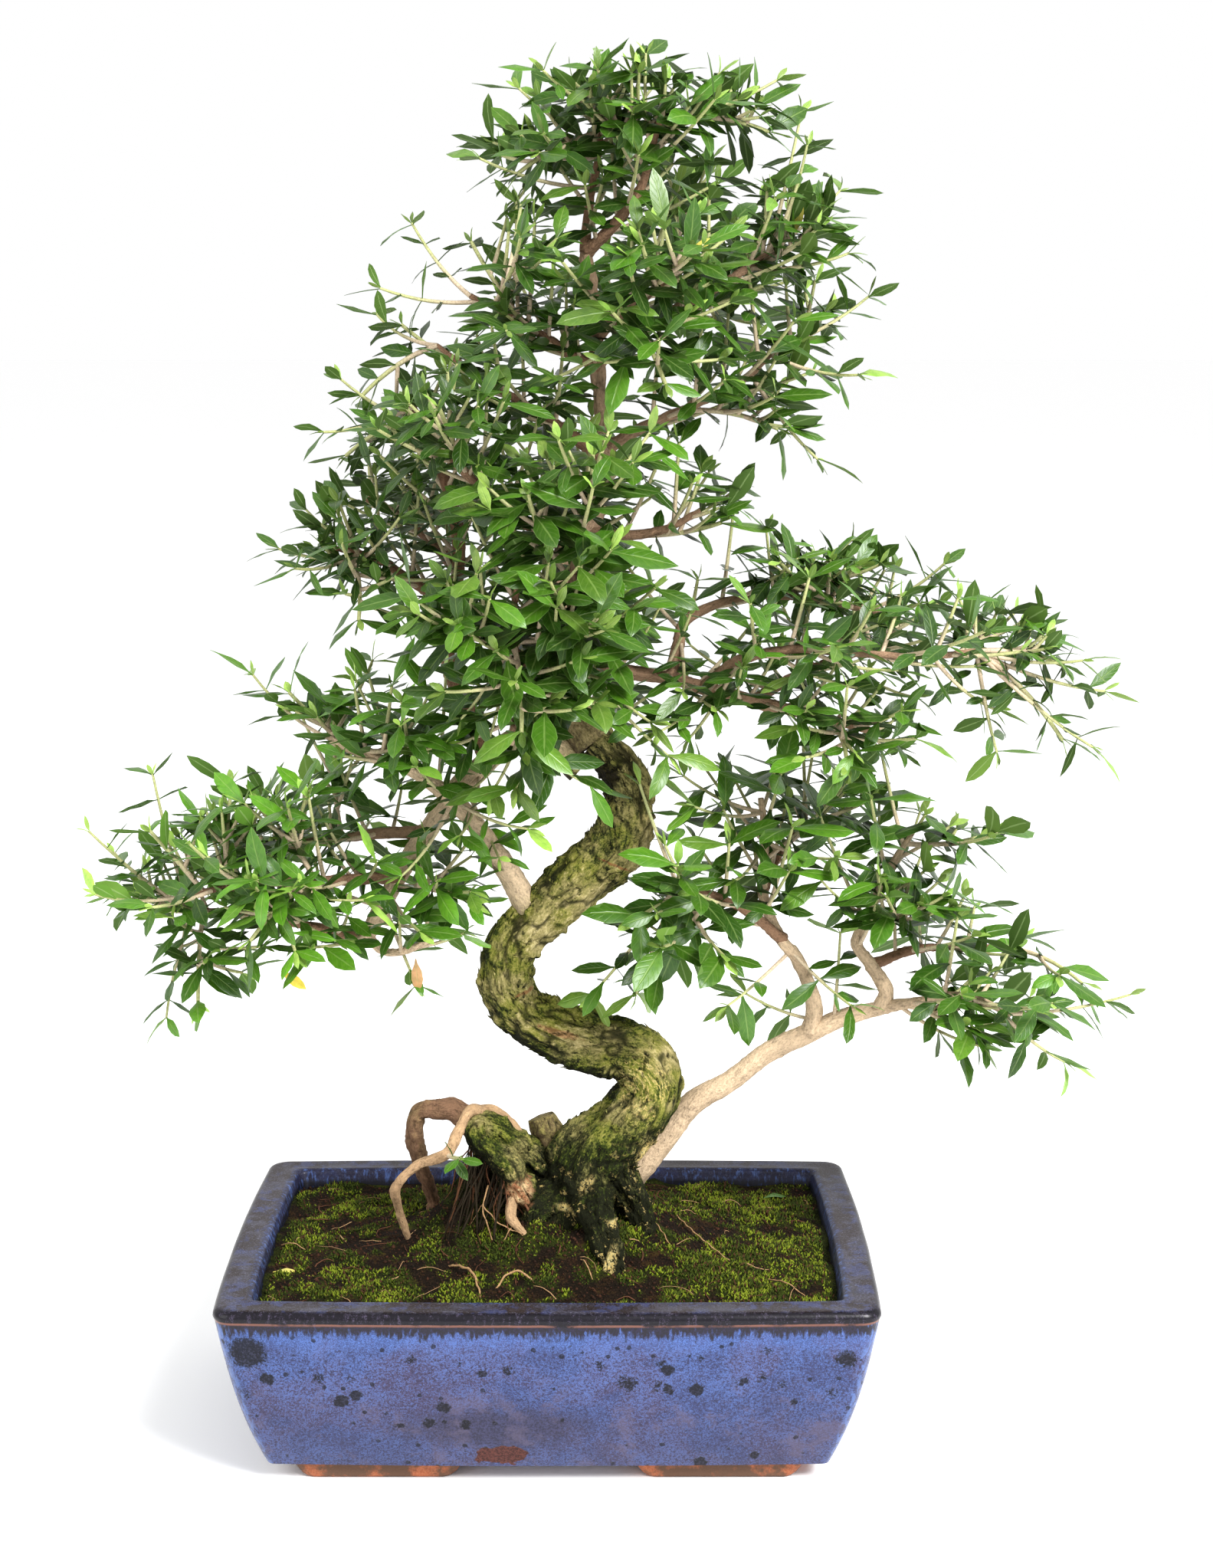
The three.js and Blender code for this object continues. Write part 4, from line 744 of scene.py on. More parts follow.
class Paint:
    """A material whose nodes are added by expressions. Its place is the point's, on the piece in metres"""

    def __init__(self, name):
        self.material = bpy.data.materials.new(name)
        self.material.use_nodes = True
        self.tree = self.material.node_tree
        self.tree.nodes.clear()
        self.place = self.add("ShaderNodeTexCoord", output="Object")

    def add(self, kind, settings=None, inputs=None, output=0):
        """Any node: its settings first, a ramp's stops among them, then its sockets' values or links"""
        node = self.tree.nodes.new(kind)
        for name, value in (settings or {}).items():
            if name == "stops":
                ramp = node.color_ramp.elements
                while len(ramp) < len(value):
                    ramp.new(0.5)
                for element, (position, colour) in zip(ramp, value):
                    element.position = position
                    element.color = (*colour, 1)
            else:
                setattr(node, name, value)
        for name, value in (inputs or {}).items():
            if isinstance(value, Value):
                self.tree.links.new(value.socket, node.inputs[name])
            elif node.inputs[name].type == "RGBA":
                node.inputs[name].default_value = (*value, 1)
            else:
                node.inputs[name].default_value = value
        return Value(self, node.outputs[output]) if len(node.outputs) else None

    def stretched(self, place, scale):
        return self.add("ShaderNodeMapping", {}, {"Vector": place, "Scale": scale})

    def noise(self, scale, detail=3.0, roughness=0.5, place=None):
        inputs = {"Vector": place or self.place, "Scale": scale, "Detail": detail, "Roughness": roughness}
        return self.add("ShaderNodeTexNoise", {}, inputs)

    def cells(self, scale, output="Distance"):
        return self.add("ShaderNodeTexVoronoi", {}, {"Vector": self.place, "Scale": scale}, output)

    def attribute(self, name, output="Fac"):
        return self.add("ShaderNodeAttribute", {"attribute_name": name}, {}, output)

    def vector(self, operation, first, second):
        """A number that Vector Math makes of two vectors"""
        return self.add("ShaderNodeVectorMath", {"operation": operation}, {0: first, 1: second}, "Value")

    def off(self, middle, stretch=(1, 1, 1)):
        """Millimetres from a middle, along stretched axes"""
        place = self.stretched(self.place, stretch)
        return self.vector("DISTANCE", place, tuple(placed(middle) * stretch)) * (1 / MM)

    def mix(self, factor, first, second, blend_type="MIX"):
        """A colour between two colours"""
        settings = {"data_type": "RGBA", "blend_type": blend_type}
        return self.add("ShaderNodeMix", settings, {0: factor, 6: first, 7: second}, 2)

    def times(self, first, second):
        """The product of two colours"""
        return self.mix(1.0, first, second, "MULTIPLY")

    def ramp(self, factor, stops):
        """A colour from stops, each of them a factor and its colour"""
        return self.add("ShaderNodeValToRGB", {"stops": stops}, {0: factor})

    def finish(self, colour, roughness, bump=None, specular=0.5, coat=0.0, coat_roughness=0.03):
        """The shader that the surface shows. A bump is a height, its depth in millimetres and its strength"""
        inputs = {
            "Base Color": colour, "Roughness": roughness, "Specular IOR Level": specular, "Coat Weight": coat,
            "Coat Roughness": coat_roughness,
        }
        if bump:
            height, depth, strength = bump
            relief = {"Height": height, "Distance": depth * MM, "Strength": strength}
            inputs["Normal"] = self.add("ShaderNodeBump", {}, relief)
        shader = self.add("ShaderNodeBsdfPrincipled", {}, inputs)
        self.add("ShaderNodeOutputMaterial", {}, {"Surface": shader})
        return self.material


# Marks on the trunk's front: middle, half length, half height and tilt in the x-z plane
TRUNK_MARKS = {
    # The hollow is painted shade: near-black where the bark has no recess
    "hollow shade": [((20, -12, 270), 13, 8, 1.0), ((4, -12, 276), 6, 5, 0.2)],
    # Painted shade: these marks darken the bark on the lower and inner sides of the trunk's bends
    "painted shade": [((21, -6, 145), 15, 6, -0.6), ((-30, -6, 165), 16, 5, -1.0), ((1, -8, 250), 12, 5, 1.1)],
    "healed cut": [((4, -20, 166), 13, 2.2, -0.3), ((24, -18, 212), 7, 2.4, -0.35)],
    "red line": [((27, -20, 237), 9, 0.7, -0.42), ((-8, -20, 183), 11, 1.4, 0.35)],
    "pale lobe": [((-13, -21, 101), 9, 6.5, 1.2)],
    "yellow growth": [
        ((15, -30, 105), 6, 3, 0.9), ((5, -30, 94), 6, 2.5, 0), ((29, -36, 93), 7, 2, -0.2),
        ((24, -46, 80), 9, 3, 1.2), ((40, -12, 116), 7, 5, 1.0),
    ],
    "pale flecks": [
        ((38, -18, 146), 17, 13, 1.4), ((42, -18, 116), 14, 10, 1.0), ((45, -10, 258), 12, 9, 1.2),
    ],
}
MARK_DEPTH = 26
# The side that the bark is painted darker on as shade, facing down and to the left away from the key lamp, as
# a direction
SHADED_SIDE = (-0.55, -0.1, -0.83)
# Further colours of the bark, in linear light; the hollow's near-black is painted shade
BARK = {
    "dry crack": (0.085, 0.07, 0.03), "dry": (0.23, 0.185, 0.085), "dry ridge": (0.42, 0.34, 0.17),
    "straw": (0.5, 0.36, 0.12), "lobe": (0.3, 0.13, 0.06), "pale lobe": (0.6, 0.42, 0.22),
    "cut": (0.16, 0.075, 0.03), "pale cut": (0.46, 0.26, 0.12), "red": (0.2, 0.05, 0.025),
    "hollow shade": (0.012, 0.009, 0.005),
}


def trunk_marks(paint, ragged, name):
    """How far places lie in the trunk's marks of one name: each mark is an ellipse with a ragged edge"""
    total = 0.0
    for middle, half_length, half_height, tilt in TRUNK_MARKS[name]:
        inputs = {
            "Vector": paint.place, "Location": tuple(placed(middle)), "Rotation": (0, -tilt, 0),
            "Scale": (half_length * MM, MARK_DEPTH * MM, half_height * MM),
        }
        local = paint.add("ShaderNodeMapping", {"vector_type": "TEXTURE"}, inputs)
        off = paint.vector("DISTANCE", local, (0, 0, 0)) + ragged * 1.2 - 0.6
        total = total + (1 - off.between(0.62, 1.05))
    return total


def bark_material(wood):
    """Bark: each tube's own tint, fibrous along the wood, green and dark where moss grows, painted shade
    near-black down in its cracks and on the side that faces down and left, near-black too low on its feet,
    with pale flakes on the ridges and the trunk's named marks, two kinds of which are painted shade"""
    paint = Paint("mossy fissured bark")
    course = paint.attribute("course", "Vector")
    mossy = paint.attribute("moss")
    grain = paint.noise(1100, 4, 0.65)
    fibre = paint.noise(0.9, 4, 0.7, paint.stretched(course, (1, 1, 0.42)))
    flake = paint.noise(0.36, 5, 0.72, paint.stretched(course, (1, 1, 0.55)))
    blotch = paint.noise(95, 4, 0.6)
    broad = paint.noise(36, 3)
    up = paint.add("ShaderNodeSeparateXYZ", {}, {0: paint.place}, "Z")
    low = 1 - up.between(0.09, 0.135)
    marks = {name: trunk_marks(paint, flake, name) for name in TRUNK_MARKS}

    greys = [(at, (grey,) * 3) for at, grey in ((0.37, 0.4), (0.46, 0.8), (0.56, 1.05), (0.66, 1.3))]
    light = paint.ramp(fibre * 0.45 + blotch * 0.25 + grain * 0.3, greys)
    colour = paint.times(paint.attribute("tint", "Color"), light)

    # Painted shade: the bark is made darker where its surface faces down and to the left, away from the key
    # lamp
    normal = paint.add("ShaderNodeNewGeometry", output="Normal")
    under = paint.vector("DOT_PRODUCT", normal, SHADED_SIDE).between(0.2, 1.0)
    level = fibre * 0.36 + flake * 0.5 + grain * 0.34 - 0.1
    level = level + marks["pale flecks"] * 0.02 - marks["painted shade"] * 0.09
    level = level * 0.82 + broad * 0.42 - 0.095
    level = level - low * 0.13 - (1 - up.between(0.13, 0.2)) * 0.05 - under * 0.14
    green = paint.ramp(level, [
        (0.38, wood.crevice_shade), (0.455, wood.moss), (0.515, wood.mossy), (0.59, wood.mossy_light),
        (0.68, wood.flake),
    ])
    dry = paint.ramp(level, [
        (0.38, wood.crevice_shade), (0.45, BARK["dry crack"]), (0.52, BARK["dry"]), (0.64, BARK["dry ridge"]),
    ])
    dryness = (blotch * 0.35 + broad * 0.3 + up.between(0.2, 0.29) * 0.09).between(0.3, 0.4)
    growth = (broad * 0.4 + blotch * 0.4 + mossy * 0.42).between(0.48, 0.66)
    colour = paint.mix(mossy * growth, colour, paint.mix(dryness * 0.6, green, dry))

    rough = paint.noise(260, 3, 0.5) * 0.6 + grain * 0.4 + paint.attribute("ridge") * 0.1
    patch = low * rough.between(0.64, 0.7)
    patch = patch + marks["yellow growth"] * (grain * 0.6 + flake * 0.4).between(0.44, 0.52)
    patch = patch + marks["pale flecks"] * (fibre * 0.6 + grain * 0.4).between(0.51, 0.57)
    straw = paint.mix(grain.between(0.4, 0.6), wood.flake, BARK["straw"])
    lobe = paint.mix(flake.between(0.4, 0.6), BARK["lobe"], BARK["pale lobe"])
    cut = paint.mix(fibre.between(0.42, 0.6), BARK["cut"], BARK["pale cut"])
    old = mossy.between(0.5, 0.9)
    for mark, strength, tone in (
        (patch, 0.8, straw), (marks["pale lobe"], grain.between(0.36, 0.46), lobe),
        (marks["healed cut"], 0.85, cut), (marks["red line"], 0.6, BARK["red"]),
        (marks["hollow shade"], 0.9, BARK["hollow shade"]),
    ):
        colour = paint.mix(mark * old * strength, colour, tone)
    # Painted shade: the bottoms of the cracks are darkened to the crevice colour
    colour = paint.mix(paint.attribute("crack").between(0.3, 0.95) * 0.85, colour, wood.crevice_shade)
    return paint.finish(colour, 0.85 - 0.15 * grain, (fibre * 1.2 + flake + grain * 0.3, 1.1, 1.0), 0.1)


def leaf_material():
    """A leaf's glossy upper face: its own green, a pale rib, faint side veins and a thin pale edge"""
    paint = Paint("glossy serissa leaf")
    colour = paint.attribute("tint", "Color")
    aside = abs(paint.attribute("aside"))
    along = paint.attribute("along")
    rib = 1 - aside.between(0.03, 0.13)
    vein = 1 - along.math("PINGPONG", along * 7.0 - aside * 1.6, 0.5).between(0.03, 0.16)
    vein = vein * aside.between(0.06, 0.2) * (1 - aside.between(0.75, 0.95))
    mottle = (paint.noise(420, 3) * 0.6).between(0.2, 0.42)
    colour = paint.mix(mottle, colour, paint.times(colour, (0.72, 0.82, 0.7)))
    colour = paint.mix(rib * 0.22 + vein * 0.05, colour, (0.3, 0.42, 0.12))
    colour = paint.mix(aside.between(0.9, 1.0) * 0.25, colour, (0.25, 0.4, 0.12))
    height = 0 - rib - vein * 0.35 + paint.noise(2600, 2) * 0.12
    return paint.finish(colour, 0.34, (height, 0.25, 0.6), 0.32, 0.05, 0.2)


def leaf_underside_material():
    """A leaf's underside: duller and paler than its upper face, with a raised pale rib"""
    paint = Paint("serissa leaf underside")
    green = paint.mix(0.3, paint.attribute("tint", "Color"), (0.13, 0.2, 0.06))
    rib = 1 - abs(paint.attribute("aside")).between(0.0, 0.16)
    grain = paint.noise(2600, 2)
    colour = paint.mix(rib * 0.5, green, (0.3, 0.42, 0.16))
    return paint.finish(colour, 0.6, (rib + grain * 0.2, 0.2, 0.5), 0.2)


def twig_material(foliage):
    """Twig: green at its young end, buff and grained at its old end"""
    paint = Paint("young twig")
    grain = paint.noise(1500, 3)
    base = paint.mix(paint.attribute("age").between(0.3, 0.85), foliage.green_twig, foliage.old_twig)
    colour = paint.mix(grain.between(0.4, 0.62) * 0.45, base, paint.times(base, (0.45, 0.42, 0.38)))
    return paint.finish(colour, 0.62, (grain, 0.15, 0.5))


# The iron spots that stand out on the pot's front: x and height in millimetres, radius
IRON_SPOTS = [
    (-116, 61, 8.5), (-117, 42, 4), (-88, 50, 2.5), (-77, 49, 1.6), (-53, 59, 2), (-15, 54, 2), (20, 57, 1.6),
    (31, 48, 3.8), (44, 57, 2.3), (43, 46, 2), (75, 48, 2.6), (84, 50, 1.8), (91, 46, 2.4), (98, 38, 1.8),
    (116, 58, 4.6), (111, 42, 4.2), (108, 29, 4.8), (106, 20, 3), (85, 63, 1.8), (51, 28, 1.6),
]
# Small iron spots all over: how many to the metre, which cells hold one, its edge and its strength
SPECKS = ((85, (0.5, 0.75), (0.1, 0.2), 1), (260, (0.72, 0.8), (0.12, 0.24), 0.8))
# The dark cloud and the bare chip on the front: middle, and how the axes are stretched round it
CLOUD = ([-20, -86, 27], (0.27, 0.2, 1))
CHIP = ([-18, -POT_DEPTH / 2 + 12, 12.5], (0.62, 1, 1.15))
CHIP_RADIUS = 7
# Further colours of the glaze, in linear light. The corner colour is a painted highlight on the pot's upright
# corners, the lip's and the inner wall's light colours are painted glints, and the inside colour is painted
# shade
GLAZE = {
    "violet": (0.032, 0.022, 0.058), "cloud": (0.006, 0.005, 0.014), "cloud light": (0.026, 0.025, 0.07),
    "low": (0.02, 0.015, 0.042), "speck": (0.007, 0.007, 0.03), "worn": (0.07, 0.055, 0.095),
    "band": (0.016, 0.013, 0.034), "iron": (0.002, 0.002, 0.004), "iron light": (0.02, 0.019, 0.032),
    "corner": (0.08, 0.15, 0.38), "rim bare": (0.014, 0.008, 0.008), "rim blue": (0.04, 0.055, 0.16),
    "rim light": (0.13, 0.125, 0.17), "rim pit": (0.012, 0.009, 0.009), "rim edge": (0.01, 0.013, 0.045),
    "lip": (0.004, 0.003, 0.006), "lip glint": (0.055, 0.045, 0.075), "inside": (0.002, 0.002, 0.005),
    "inside glint": (0.014, 0.022, 0.075), "rust": (0.2, 0.085, 0.06), "chip": (0.03, 0.009, 0.007),
    "chip light": (0.09, 0.028, 0.021), "foot edge": (0.33, 0.28, 0.3),
}


class GlazePaint(Paint):
    """The glaze's layers. Down is the way down the side from the rim's edge, in millimetres"""

    def __init__(self, pot):
        super().__init__("cobalt glaze")
        self.pot = pot
        self.down = self.attribute("down")
        self.fine = self.noise(1100, 4, 0.75)
        self.speckle = self.noise(2300, 2, 0.7)
        self.streak = self.noise(620, 3, 0.6, self.stretched(self.place, (1, 1, 0.22)))
        self.worn = self.noise(60, 5, 0.7)

    def body(self):
        """Speckled cobalt, darker in a cloud and low down, and greyer where it is worn"""
        broad = self.noise(38, 3, 0.55)
        cobalt = self.mix(broad.between(0.44, 0.54), self.pot.glaze, GLAZE["violet"])
        light = self.speckle * 0.5 + self.fine * 0.5 + self.noise(75, 3, 0.6) * 0.25 - 0.125
        body = self.mix(light.between(0.44, 0.6) * 0.62, cobalt, self.pot.glaze_light)
        off = self.off(*CLOUD) + self.noise(110, 4, 0.7) * 14.0 - 7.0
        cloud = self.mix(self.fine.between(0.4, 0.6), GLAZE["cloud"], GLAZE["cloud light"])
        body = self.mix((1 - off.between(5.0, 14.0)) * 0.9, body, cloud)
        body = self.mix(self.down.between(22, 62) * 0.3, body, GLAZE["low"])
        body = self.mix((1 - self.fine.between(0.38, 0.5)) * 0.75, body, GLAZE["speck"])
        return self.mix(self.worn.between(0.5, 0.64) * self.down.between(20, 45) * 0.55, body, GLAZE["worn"])

    def side(self, iron):
        """The body, lighter high up, that runs into a dark band below the edge, with iron spots over both
        and painted light blue highlights on the upright corners"""
        upper = 1 - (self.down + self.streak * 14.0).between(14.0, 26.0)
        upper = upper * (self.speckle.between(0.42, 0.6) * 0.5 + 0.25)
        side = self.mix(upper, self.body(), self.pot.glaze_light)
        runs = (self.down + self.streak * 15.0 - 7.5).between(6.0, 9.5)
        band = self.mix(self.fine.between(0.45, 0.62), self.pot.glaze_dark, GLAZE["band"])
        side = self.mix(runs, band, side)
        spot = self.mix(self.fine.between(0.5, 0.62), GLAZE["iron"], GLAZE["iron light"])
        side = self.mix(iron.between(0.0, 1.0) * 0.94, side, spot)
        # Painted highlight: light blue streaks along the pot's upright corners
        corner = self.attribute("corner") * self.streak.between(0.42, 0.58) * (1 - iron)
        return self.mix(corner.between(0.1, 0.9) * 0.5, side, GLAZE["corner"])

    def iron(self):
        """Where the iron spots are: in some cells of two patterns, and at the places of the large ones"""
        rough = self.fine * 0.16 + self.noise(420, 3) * 0.24
        iron = 0.0
        for scale, chosen, edge, strength in SPECKS:
            drawn = self.cells(scale, "Color").between(*chosen)
            off = self.cells(scale) + rough - drawn * 0.3
            iron = iron + (1 - off.between(*edge)) * strength
        ragged = self.noise(300, 4, 0.7) * 7.0 + self.fine * 7.0 - 7.0
        for x, z, radius in IRON_SPOTS:
            off = self.off([x, -POT_DEPTH / 2 + 3, z]) + ragged
            iron = iron.math("MAXIMUM", iron, 1 - off.between(radius * 0.7 - 1, radius + 1))
        return iron * self.down.between(6.0, 10.0)

    def rim(self):
        """Worn slate, a painted shine of light blue along the inner edge, dark on the outer lip with painted
        glints, and painted shade with painted glints on the wall inside the pot
        """
        slate = self.mix(self.worn.between(0.4, 0.52), self.pot.rim, GLAZE["rim bare"])
        blue = self.noise(110, 4, 0.7).between(0.5, 0.62)
        light = (self.speckle * 0.5 + self.fine * 0.5).between(0.52, 0.62)
        pits = 1 - (self.worn * 0.6 + self.fine * 0.4).between(0.4, 0.5)
        for amount, tone in ((blue * 0.5, "rim blue"), (light * 0.7, "rim light"), (pits * 0.75, "rim pit")):
            slate = self.mix(amount, slate, GLAZE[tone])
        # Painted highlight: a light blue shine along the rim's inner edge
        painted_shine = 1 - (self.down + self.worn * 5.0 + RIM_WIDTH - 3.5).between(0.0, 2.6)
        edge = self.mix(self.streak.between(0.5, 0.68), GLAZE["rim edge"], self.pot.glaze_light)
        rim = self.mix(painted_shine * 0.6, slate, edge)
        # Painted highlight: glints on the dark outer lip
        painted_glint = (self.speckle * 0.5 + self.streak * 0.5).between(0.53, 0.64)
        lip = self.mix(painted_glint * 0.75, GLAZE["lip"], GLAZE["lip glint"])
        rim = self.mix((self.down + self.worn * 1.6).between(-2.4, -0.6), rim, lip)
        # Painted shade on the wall inside the pot, near-black, with painted glints
        inside = 1 - (self.down + self.worn * 2.0).between(-RIM_WIDTH - 4.0, -RIM_WIDTH - 1.5)
        wall = self.mix(self.streak.between(0.58, 0.7), GLAZE["inside"], GLAZE["inside glint"])
        return self.mix(inside * 0.92, rim, wall)


def glaze_material(pot):
    """Glaze: cobalt sides below a worn slate rim, a rusty line between them, a chip and pale foot edges"""
    paint = GlazePaint(pot)
    down, fine, worn = paint.down, paint.fine, paint.worn
    iron = paint.iron()
    line = (down + worn).between(3.1, 3.6) * (1 - (down + worn).between(4.0, 4.7))
    colour = paint.mix(down.between(3.4, 4.2), paint.rim(), paint.side(iron))
    colour = paint.mix(line * worn.between(0.3, 0.5) * 0.7, colour, GLAZE["rust"])
    off = paint.off(*CHIP) + paint.noise(160, 4) * 9.0 - 4.5
    bare = 1 - off.between(CHIP_RADIUS - 1.2, CHIP_RADIUS - 0.6)
    colour = paint.mix(bare, colour, paint.mix(fine.between(0.4, 0.6), GLAZE["chip"], GLAZE["chip light"]))
    colour = paint.mix(down.between(72.0, 73.5) * 0.6, colour, GLAZE["foot edge"])
    sheen = down.between(8.0, 16.0) * 0.75 + 0.25
    dullness = 0.22 * worn + 0.2 * iron * fine + 0.35 * bare + 0.12 * (1 - down.between(-4.0, 0.0))
    coat = 0.26 * (1 - bare) * (1 - iron.between(0.0, 1.0)) * sheen
    height = worn * 0.8 + fine * 0.12 - iron * 0.35 - bare * 0.9
    return paint.finish(colour, 0.2 + dullness, (height, 0.6, 0.5), 0.2, coat, 0.08)


def clay_material(pot):
    """Bare fired clay: orange, sandy, with dark water stains"""
    paint = Paint("bare clay")
    stain = paint.noise(70, 5, 0.65)
    sand = paint.noise(1400, 3, 0.7)
    clay = paint.mix(sand.between(0.38, 0.62), pot.clay, (0.38, 0.125, 0.05))
    colour = paint.mix((1 - stain.between(0.46, 0.6)) * 0.9, clay, (0.07, 0.04, 0.022))
    return paint.finish(colour, 0.82, (sand + stain, 0.3, 0.6))


def soil_material(soil):
    """Damp soil: near-black crumbs, red-brown remains and a green film below the moss"""
    paint = Paint("damp soil")
    grain = paint.noise(1100, 4, 0.7)
    patch = paint.noise(120, 4, 0.6)
    green = paint.attribute("moss")
    colour = paint.mix(grain.between(0.42, 0.7), soil.soil, (0.018, 0.011, 0.007))
    colour = paint.mix((patch * 0.6 + grain * 0.4).between(0.5, 0.64) * 0.8, colour, soil.humus)
    film = (grain * 0.6 + patch * 0.4).between(0.4, 0.66)
    film = paint.mix(film, (0.007, 0.009, 0.002), (0.032, 0.042, 0.005))
    spread = (green * 0.5 + (patch * 0.5 + grain * 0.5) * 0.9).between(0.46, 0.7)
    colour = paint.mix(spread * 0.85, colour, film)
    return paint.finish(colour, 0.78 + 0.2 * grain, (grain + paint.noise(420, 3), 0.9, 0.9), 0.06)


def litter_material():
    """Crumbs, straws and rootlets on the soil, each with its own tint"""
    paint = Paint("soil litter")
    grain = paint.noise(1600, 3, 0.7)
    own = paint.attribute("tint", "Color")
    colour = paint.mix(grain.between(0.35, 0.65) * 0.6, own, paint.times(own, (0.4, 0.36, 0.33)))
    return paint.finish(colour, 0.8, (grain, 0.2, 0.7), 0.12)


def moss_material(soil):
    """Moss plants: dark at the foot, fresh green at the tip, each with its own tint"""
    paint = Paint("cushion moss")
    own = paint.attribute("tint", "Color")
    colour = paint.mix(paint.attribute("tip").between(0.0, 0.9), paint.times(own, (0.3, 0.34, 0.3)), own)
    colour = paint.mix(paint.noise(1300, 2).between(0.5, 0.62) * 0.3, colour, soil.moss)
    return paint.finish(colour, 0.7, specular=0.12)


def plastic_material():
    """Dark drain mesh, dulled by soil"""
    paint = Paint("drain mesh plastic")
    dust = paint.noise(700, 4)
    colour = paint.mix(dust.between(0.45, 0.65), (0.012, 0.013, 0.012), (0.06, 0.045, 0.03))
    return paint.finish(colour, 0.45 + 0.4 * dust, (dust, 0.1, 1.0))


def floor_material(stage):
    """Plain pale floor"""
    return Paint("pale floor").finish(stage.floor, 0.9)


# Pot
def pot_outline(inset, z, arc_steps=8, side_steps=18):
    """A rounded rectangle pulled in by an inset, whose sides bow out as 4 p (1 - p) along their length.
    The inset and the height are arrays, and each pair of them gives one closed ring"""
    inset = np.asarray(inset, float)[:, None]
    half = np.stack(np.broadcast_arrays(POT_WIDTH / 2 - inset, POT_DEPTH / 2 - inset), axis=-1)
    radius = np.maximum(CORNER_RADIUS - inset * 0.25, 3)[..., None]
    part = np.arange(1, side_steps) / side_steps
    rings = []
    for corner in range(4):
        sign = np.array([1 if corner in (0, 3) else -1, 1 if corner < 2 else -1])
        angle = (corner + np.arange(arc_steps + 1) / arc_steps) * np.pi / 2
        arc = sign * (half - radius) + radius * heading(angle)
        along = corner % 2
        line = np.repeat(arc[:, -1:], side_steps - 1, axis=1)
        line[..., along] = arc[:, -1:, along] * (1 - 2 * part)
        line[..., 1 - along] += np.sign(arc[:, -1:, 1 - along]) * SIDE_BOW * 4 * (part * (1 - part))
        rings += [arc, line]
    return raised(np.concatenate(rings, axis=1), np.asarray(z, float)[:, None])


def side_inset(z):
    """The side leans in by 0.65 f + 0.35 f^3 of the taper, where f is the share of the way down"""
    fall = (POT_HEIGHT - z) / (POT_HEIGHT - FOOT_HEIGHT)
    return SIDE_TAPER * (0.65 * fall + 0.35 * fall**3)


def inner_inset(z):
    return RIM_WIDTH + INNER_TAPER * (POT_HEIGHT - z) / (POT_HEIGHT - FLOOR_TOP)


def pot_profile(rounding):
    """Inset and height from the middle of the underside, up the side, over the rim and down to the
    middle of the floor, with the rim's two edges as quarter rounds"""
    edge = rounding / MM
    inner_edge = 2.4
    turn = np.linspace(0, np.pi / 2, 7)
    cos, sin = np.cos(turn), np.sin(turn)
    side = np.linspace(FOOT_HEIGHT + 3, POT_HEIGHT - edge - 1.6, 24)
    side = np.concatenate([[FOOT_HEIGHT + 0.15, FOOT_HEIGHT + 1], side])
    level = np.linspace(edge + 1.5, RIM_WIDTH - inner_edge - 1.5, 5)
    dip = 0.25 * np.sin(np.pi * (level - edge) / (RIM_WIDTH - edge))
    wall = np.linspace(POT_HEIGHT - inner_edge - 2, FLOOR_TOP + 1.5, 12)
    floor = inner_inset(FLOOR_TOP)
    lip_inset = side_inset(POT_HEIGHT - edge)
    return np.concatenate([
        [[SIDE_TAPER + 10, FOOT_HEIGHT + 0.6], [SIDE_TAPER + 1.4, FOOT_HEIGHT + 0.35]],
        np.column_stack([side_inset(side), side]),
        np.column_stack([lip_inset * cos * 0.4 + edge * (1 - cos), POT_HEIGHT - edge * (1 - sin)]),
        np.column_stack([level, POT_HEIGHT - dip]),
        np.column_stack([RIM_WIDTH - inner_edge * (1 - sin), POT_HEIGHT - inner_edge * (1 - cos)]),
        np.column_stack([inner_inset(wall), wall]),
        [[floor + 1.5, FLOOR_TOP], [floor + 12, FLOOR_TOP]],
    ])


def column(skin, middle, outlines):
    """A closed column round a middle, from level outlines (n, 2) with their heights"""
    rings = [raised(middle + outline, z) for outline, z in outlines]
    poles = [[*middle, outlines[0][1]], [*middle, outlines[-1][1]]]
    skin.add(np.concatenate([*rings, poles]), closed_faces(len(rings), len(rings[0])))


def cut_drains(piece):
    """Two round drain holes through the pot's floor"""
    skin = Skin()
    ring = DRAIN_RADIUS * heading(turns(DRAIN_SIDES))
    for side in (-1, 1):
        column(skin, [side * DRAIN_OFFSET, 0], [(ring, FOOT_HEIGHT - 4), (ring, FLOOR_TOP + 4)])
    cutter = skin.piece("drain_cutter", [])
    cut = piece.modifiers.new("drains", "BOOLEAN")
    cut.operation = "DIFFERENCE"
    cut.solver = "EXACT"
    cut.object = cutter
    apply_modifiers(piece)
    bpy.data.objects.remove(cutter)


def apply_modifiers(piece):
    """The piece's mesh becomes what its modifiers make of it"""
    graph = bpy.context.evaluated_depsgraph_get()
    made = bpy.data.meshes.new_from_object(piece.evaluated_get(graph))
    piece.modifiers.clear()
    piece.data = made


